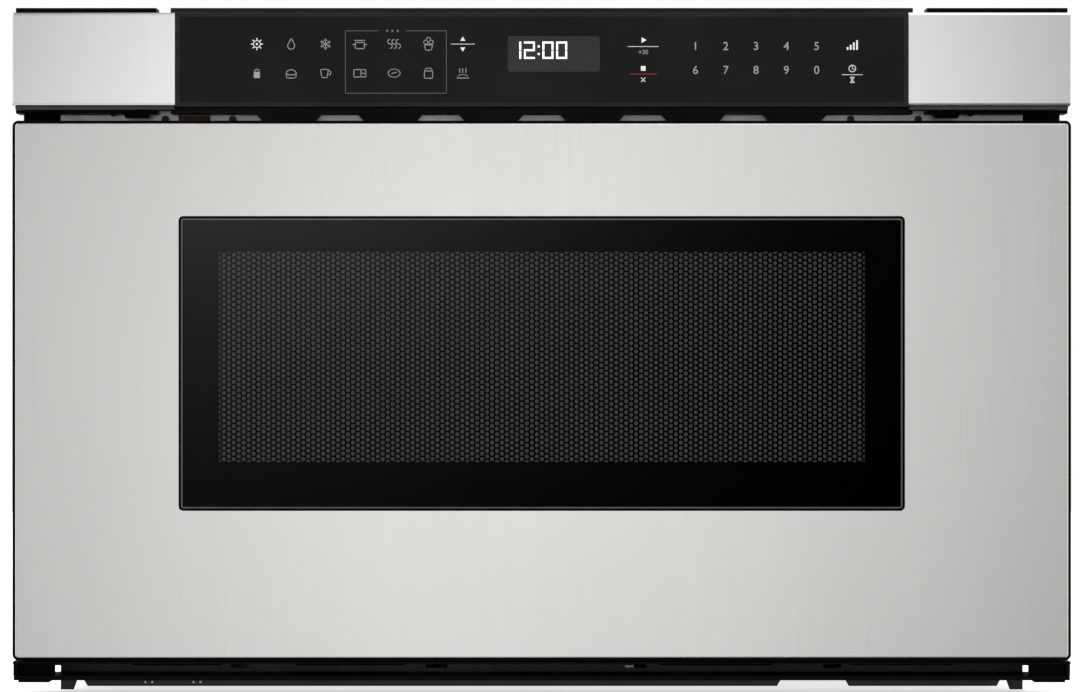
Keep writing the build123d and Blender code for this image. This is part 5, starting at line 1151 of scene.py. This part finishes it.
class MICROWAVE_OT_drawer_tub(Operator):
    """Finish the tub, its ceramic tray and the cavity around them"""

    bl_idname = "microwave.drawer_tub"
    bl_label = "Tub, Tray and Cavity"

    def execute(self, context):
        enamel = (grey(0.2), grey(0.31, 0.01))
        add_finish("grey_enamel", speckle_group, enamel, (0.22, 0.34), (0.15, 0.05))
        add_finish(
            "grey_tub", moulded_group, greys(0.3, 0.34),
            (0.28, 0.4), (0.15, 0.03), {"Fineness": 1300.0},
        )
        add_finish(
            "glazed_ceramic", speckle_group, (grey(0.3, 0.04), grey(0.68, 0.03)),
            (0.05, 0.12), (0.08, 0.04), {"Specks": 300.0}, Coat_Weight=0.6, Coat_Roughness=0.04,
        )
        return {"FINISHED"}


class MICROWAVE_OT_chassis(Operator):
    """Finish the zinc-coated case, front plate and slides"""

    bl_idname = "microwave.chassis"
    bl_label = "Zinc Case and Slides"

    def execute(self, context):
        add_finish(
            "zinc_sheet", spangle_group, (grey(0.54, -0.01), grey(0.62, -0.015)),
            (0.34, 0.42), (0.05, 0.02), Metallic=1.0,
        )
        # The zinc finish darkened many times over. The dark tone is painted shade for the panel
        # under the door, and the case screws take it too.
        add_finish(
            "dark_zinc", spangle_group, greys(0.036, 0.045),
            (0.4, 0.5), (0.05, 0.02), Metallic=0.6,
        )
        add_finish(
            "plated_rail", brushed_group, greys(0.46, 0.6, -0.01),
            (0.24, 0.36), (0.1, 0.01), {"Fineness": 700.0}, Metallic=1.0,
        )
        return {"FINISHED"}


class MICROWAVE_OT_works(Operator):
    """Finish the drive, the fan, the stirrer and the microwave parts"""

    bl_idname = "microwave.works"
    bl_label = "Drive and Microwave Parts"

    def execute(self, context):
        add_finish(
            "natural_nylon", moulded_group, (grey(0.62, 0.04), grey(0.72, 0.05)),
            (0.35, 0.5), (0.15, 0.03), Subsurface_Weight=0.1, Subsurface_Scale=0.002,
        )
        add_finish(
            "motor_can", brushed_group, greys(0.32, 0.42),
            (0.3, 0.42), (0.08, 0.01), {"Fineness": 500.0}, Metallic=1.0,
        )
        add_finish(
            "drawn_aluminium", brushed_group, greys(0.66, 0.78, -0.01),
            (0.28, 0.4), (0.08, 0.01), {"Fineness": 600.0}, Metallic=1.0,
        )
        add_finish(
            "wound_core", layered_group, ((0.05, 0.03, 0.02), (0.28, 0.12, 0.05)),
            (0.3, 0.5), (0.5, 0.2), Metallic=0.5,
        )
        add_finish(
            "mica_sheet", speckle_group, ((0.34, 0.29, 0.2), (0.52, 0.46, 0.36)),
            (0.35, 0.5), (0.1, 0.05), {"Specks": 150.0},
        )
        add_finish(
            "circuit_board", printed_board_group, ((0.02, 0.13, 0.06), (0.04, 0.22, 0.1)),
            (0.3, 0.4), (0.2, 0.05),
        )
        return {"FINISHED"}


# -------------------- studio


class MICROWAVE_OT_studio(Operator):
    """Set the plain floor, the soft light and the camera"""

    bl_idname = "microwave.studio"
    bl_label = "Floor, Light and Camera"

    def execute(self, context):
        settings = context.scene.microwave_studio
        context.scene.view_settings.view_transform = "Standard"
        self.lay_floor(settings)
        self.light_world(context.scene, settings)
        self.hang_panels(settings)
        self.place_camera(context.scene, settings)
        return {"FINISHED"}

    def lay_floor(self, settings):
        clear_selection()
        bpy.ops.mesh.primitive_circle_add(
            vertices=96, radius=2.1, fill_type="NGON", location=(0, 0.2, -0.5 * MM)
        )
        floor = settle(bpy.context.object)
        floor.name = "floor"
        material = bpy.data.materials.new("floor")
        material.use_nodes = True
        tree = material.node_tree
        shader = tree.nodes["Principled BSDF"].inputs
        shader["Base Color"].default_value = (*settings.floor_colour, 1.0)
        shader["Roughness"].default_value = 0.9
        shader["Specular IOR Level"].default_value = 0.0
        shader["Emission Color"].default_value = (1, 1, 1, 1)
        seen = add_node(tree, "LightPath").outputs["Is Camera Ray"]
        tree.links.new(math_node(tree, "MULTIPLY", seen, 0.6), shader["Emission Strength"])
        floor.data.materials.append(material)
        floor.visible_glossy = False

    def light_world(self, scene, settings):
        """White for the camera, and a soft studio for metal, glass and shading."""
        world = bpy.data.worlds.new("studio")
        scene.world = world
        world.use_nodes = True
        tree = world.node_tree
        tree.nodes.clear()
        calc, fade = partial(math_node, tree), partial(ramp, tree)
        place = add_node(tree, "TexCoord").outputs["Generated"]
        x, y, z = add_node(tree, "SeparateXYZ", {0: place}).outputs
        rise = calc("ABSOLUTE", z)

        # A tall soft panel ahead of the drawer, brightest at its middle, and bright side walls.
        lean, shift = -0.09, 0.0115
        leaning = calc("ADD", x, calc("MULTIPLY", z, lean))
        side = calc("ABSOLUTE", calc("ADD", leaning, shift))
        panel = fade(side, 0.0, 0.2, settings.panel, 0.1)
        walls = fade(side, 0.24, 0.5, 0.0, settings.walls)
        middle = fade(rise, 0.0, 0.2, 1.0, 0.5)
        above = fade(z, 0.22, 0.45, 0.0, 0.65)
        studio = calc("MULTIPLY", calc("ADD", panel, walls), calc("ADD", middle, above))

        # What the window mirrors sharply: a dark card with a glow at its upper left.
        shift, narrowing, climbing = 0.088, -104.0, 23.7
        across = calc("ADD", x, shift)
        bend = calc("MULTIPLY", calc("MULTIPLY", across, across), narrowing)
        climb = calc("ADD", calc("MULTIPLY", z, climbing), bend)
        glow = calc("MULTIPLY", calc("EXPONENT", climb), settings.glow)
        beside = fade(calc("ABSOLUTE", x), 0.13, 0.18, 1.0, 0.0)
        level = fade(rise, 0.06, 0.09, 1.0, 0.0)
        ahead = fade(y, -0.9, -0.8, 1.0, 0.0)
        card = calc("MULTIPLY", calc("MULTIPLY", beside, level), ahead)
        off_card = calc("MULTIPLY", studio, calc("SUBTRACT", 1.0, card))
        mirrored = calc("ADD", off_card, calc("MULTIPLY", glow, card))

        def background(strength):
            inputs = {"Strength": strength, "Color": (1, 1, 1, 1)}
            return add_node(tree, "Background", inputs).outputs[0]

        def blend(factor, first, second):
            return add_node(tree, "MixShader", {0: factor, 1: first, 2: second}).outputs[0]

        path = add_node(tree, "LightPath").outputs
        lit = blend(path["Is Singular Ray"], background(studio), background(mirrored))
        shown = blend(path["Is Camera Ray"], lit, background(1.0))
        add_node(tree, "OutputWorld", {"Surface": shown})

    def hang_panels(self, settings):
        """One large panel overhead, a weaker one at each side and one behind."""
        weak = settings.key * 0.3
        aside = math.radians(60)
        for name, place, turn, size, power in (
            ("panel_above", (0.0, -0.9, 2.2), (math.radians(22), 0, 0), 2.4, settings.key),
            ("panel_left", (-2.2, -1.2, 0.9), (QUARTER, 0, -aside), 1.4, weak),
            ("panel_right", (2.2, -1.2, 0.9), (QUARTER, 0, aside), 1.4, weak),
            ("panel_behind", (0.0, 2.4, 1.4), (math.radians(-62), 0, 0), 1.6, weak),
        ):
            clear_selection()
            bpy.ops.object.light_add(type="AREA", location=place, rotation=turn)
            panel = bpy.context.object
            panel.name = name
            panel.data.shape = "SQUARE"
            panel.data.size = size
            panel.data.energy = power
            panel.visible_camera = False
            panel.visible_glossy = False

    def place_camera(self, scene, settings):
        clear_selection()
        bpy.ops.object.camera_add(
            location=(settings.camera_x, FACE - settings.distance, settings.camera_z),
            rotation=(QUARTER, 0, 0),
        )
        camera = bpy.context.object
        camera.name = "camera"
        camera.data.sensor_width = 36.0
        camera.data.lens = camera.data.sensor_width * settings.distance / settings.field
        camera.data.clip_start = 0.05
        camera.data.clip_end = 50.0
        scene.camera = camera


# -------------------- panel and registration

STEPS = (
    MICROWAVE_OT_steel,
    MICROWAVE_OT_black_pieces,
    MICROWAVE_OT_trim_ends,
    MICROWAVE_OT_front_plate_pieces,
    MICROWAVE_OT_window_pane,
    MICROWAVE_OT_perforated_screen,
    MICROWAVE_OT_control_glass,
    MICROWAVE_OT_key_marks,
    MICROWAVE_OT_clock,
    MICROWAVE_OT_drawer_tub,
    MICROWAVE_OT_chassis,
    MICROWAVE_OT_works,
    MICROWAVE_OT_studio,
)
SETTINGS = {
    "microwave_steel": MicrowaveSteelSettings,
    "microwave_black": MicrowaveBlackSettings,
    "microwave_window": MicrowaveWindowSettings,
    "microwave_panel": MicrowavePanelSettings,
    "microwave_studio": MicrowaveStudioSettings,
}


class VIEW3D_PT_microwave(Panel):
    """Settings and steps of the microwave drawer's looks"""

    bl_label = "Microwave Drawer"
    bl_idname = "VIEW3D_PT_microwave"
    bl_space_type = "VIEW_3D"
    bl_region_type = "UI"
    bl_category = "Microwave"

    def draw(self, context):
        for label, group in SETTINGS.items():
            box = self.layout.box()
            for name in group.__annotations__:
                box.prop(getattr(context.scene, label), name)
        for step in STEPS:
            self.layout.operator(step.bl_idname)


def register():
    for label, group in SETTINGS.items():
        bpy.utils.register_class(group)
        setattr(bpy.types.Scene, label, PointerProperty(type=group))
    for step in STEPS:
        bpy.utils.register_class(step)
    bpy.utils.register_class(VIEW3D_PT_microwave)


def unregister():
    bpy.utils.unregister_class(VIEW3D_PT_microwave)
    for step in reversed(STEPS):
        bpy.utils.unregister_class(step)
    for label in SETTINGS:
        delattr(bpy.types.Scene, label)
    for group in reversed(SETTINGS.values()):
        bpy.utils.unregister_class(group)


def main():
    register()
    bpy.ops.microwave.steel()
    bpy.ops.microwave.black_pieces()
    bpy.ops.microwave.trim_ends()
    bpy.ops.microwave.front_plate_pieces()
    bpy.ops.microwave.window_pane()
    bpy.ops.microwave.perforated_screen()
    bpy.ops.microwave.control_glass()
    bpy.ops.microwave.key_marks()
    bpy.ops.microwave.clock()
    bpy.ops.microwave.drawer_tub()
    bpy.ops.microwave.chassis()
    bpy.ops.microwave.works()
    bpy.ops.microwave.studio()


if __name__ == "__main__":
    main()
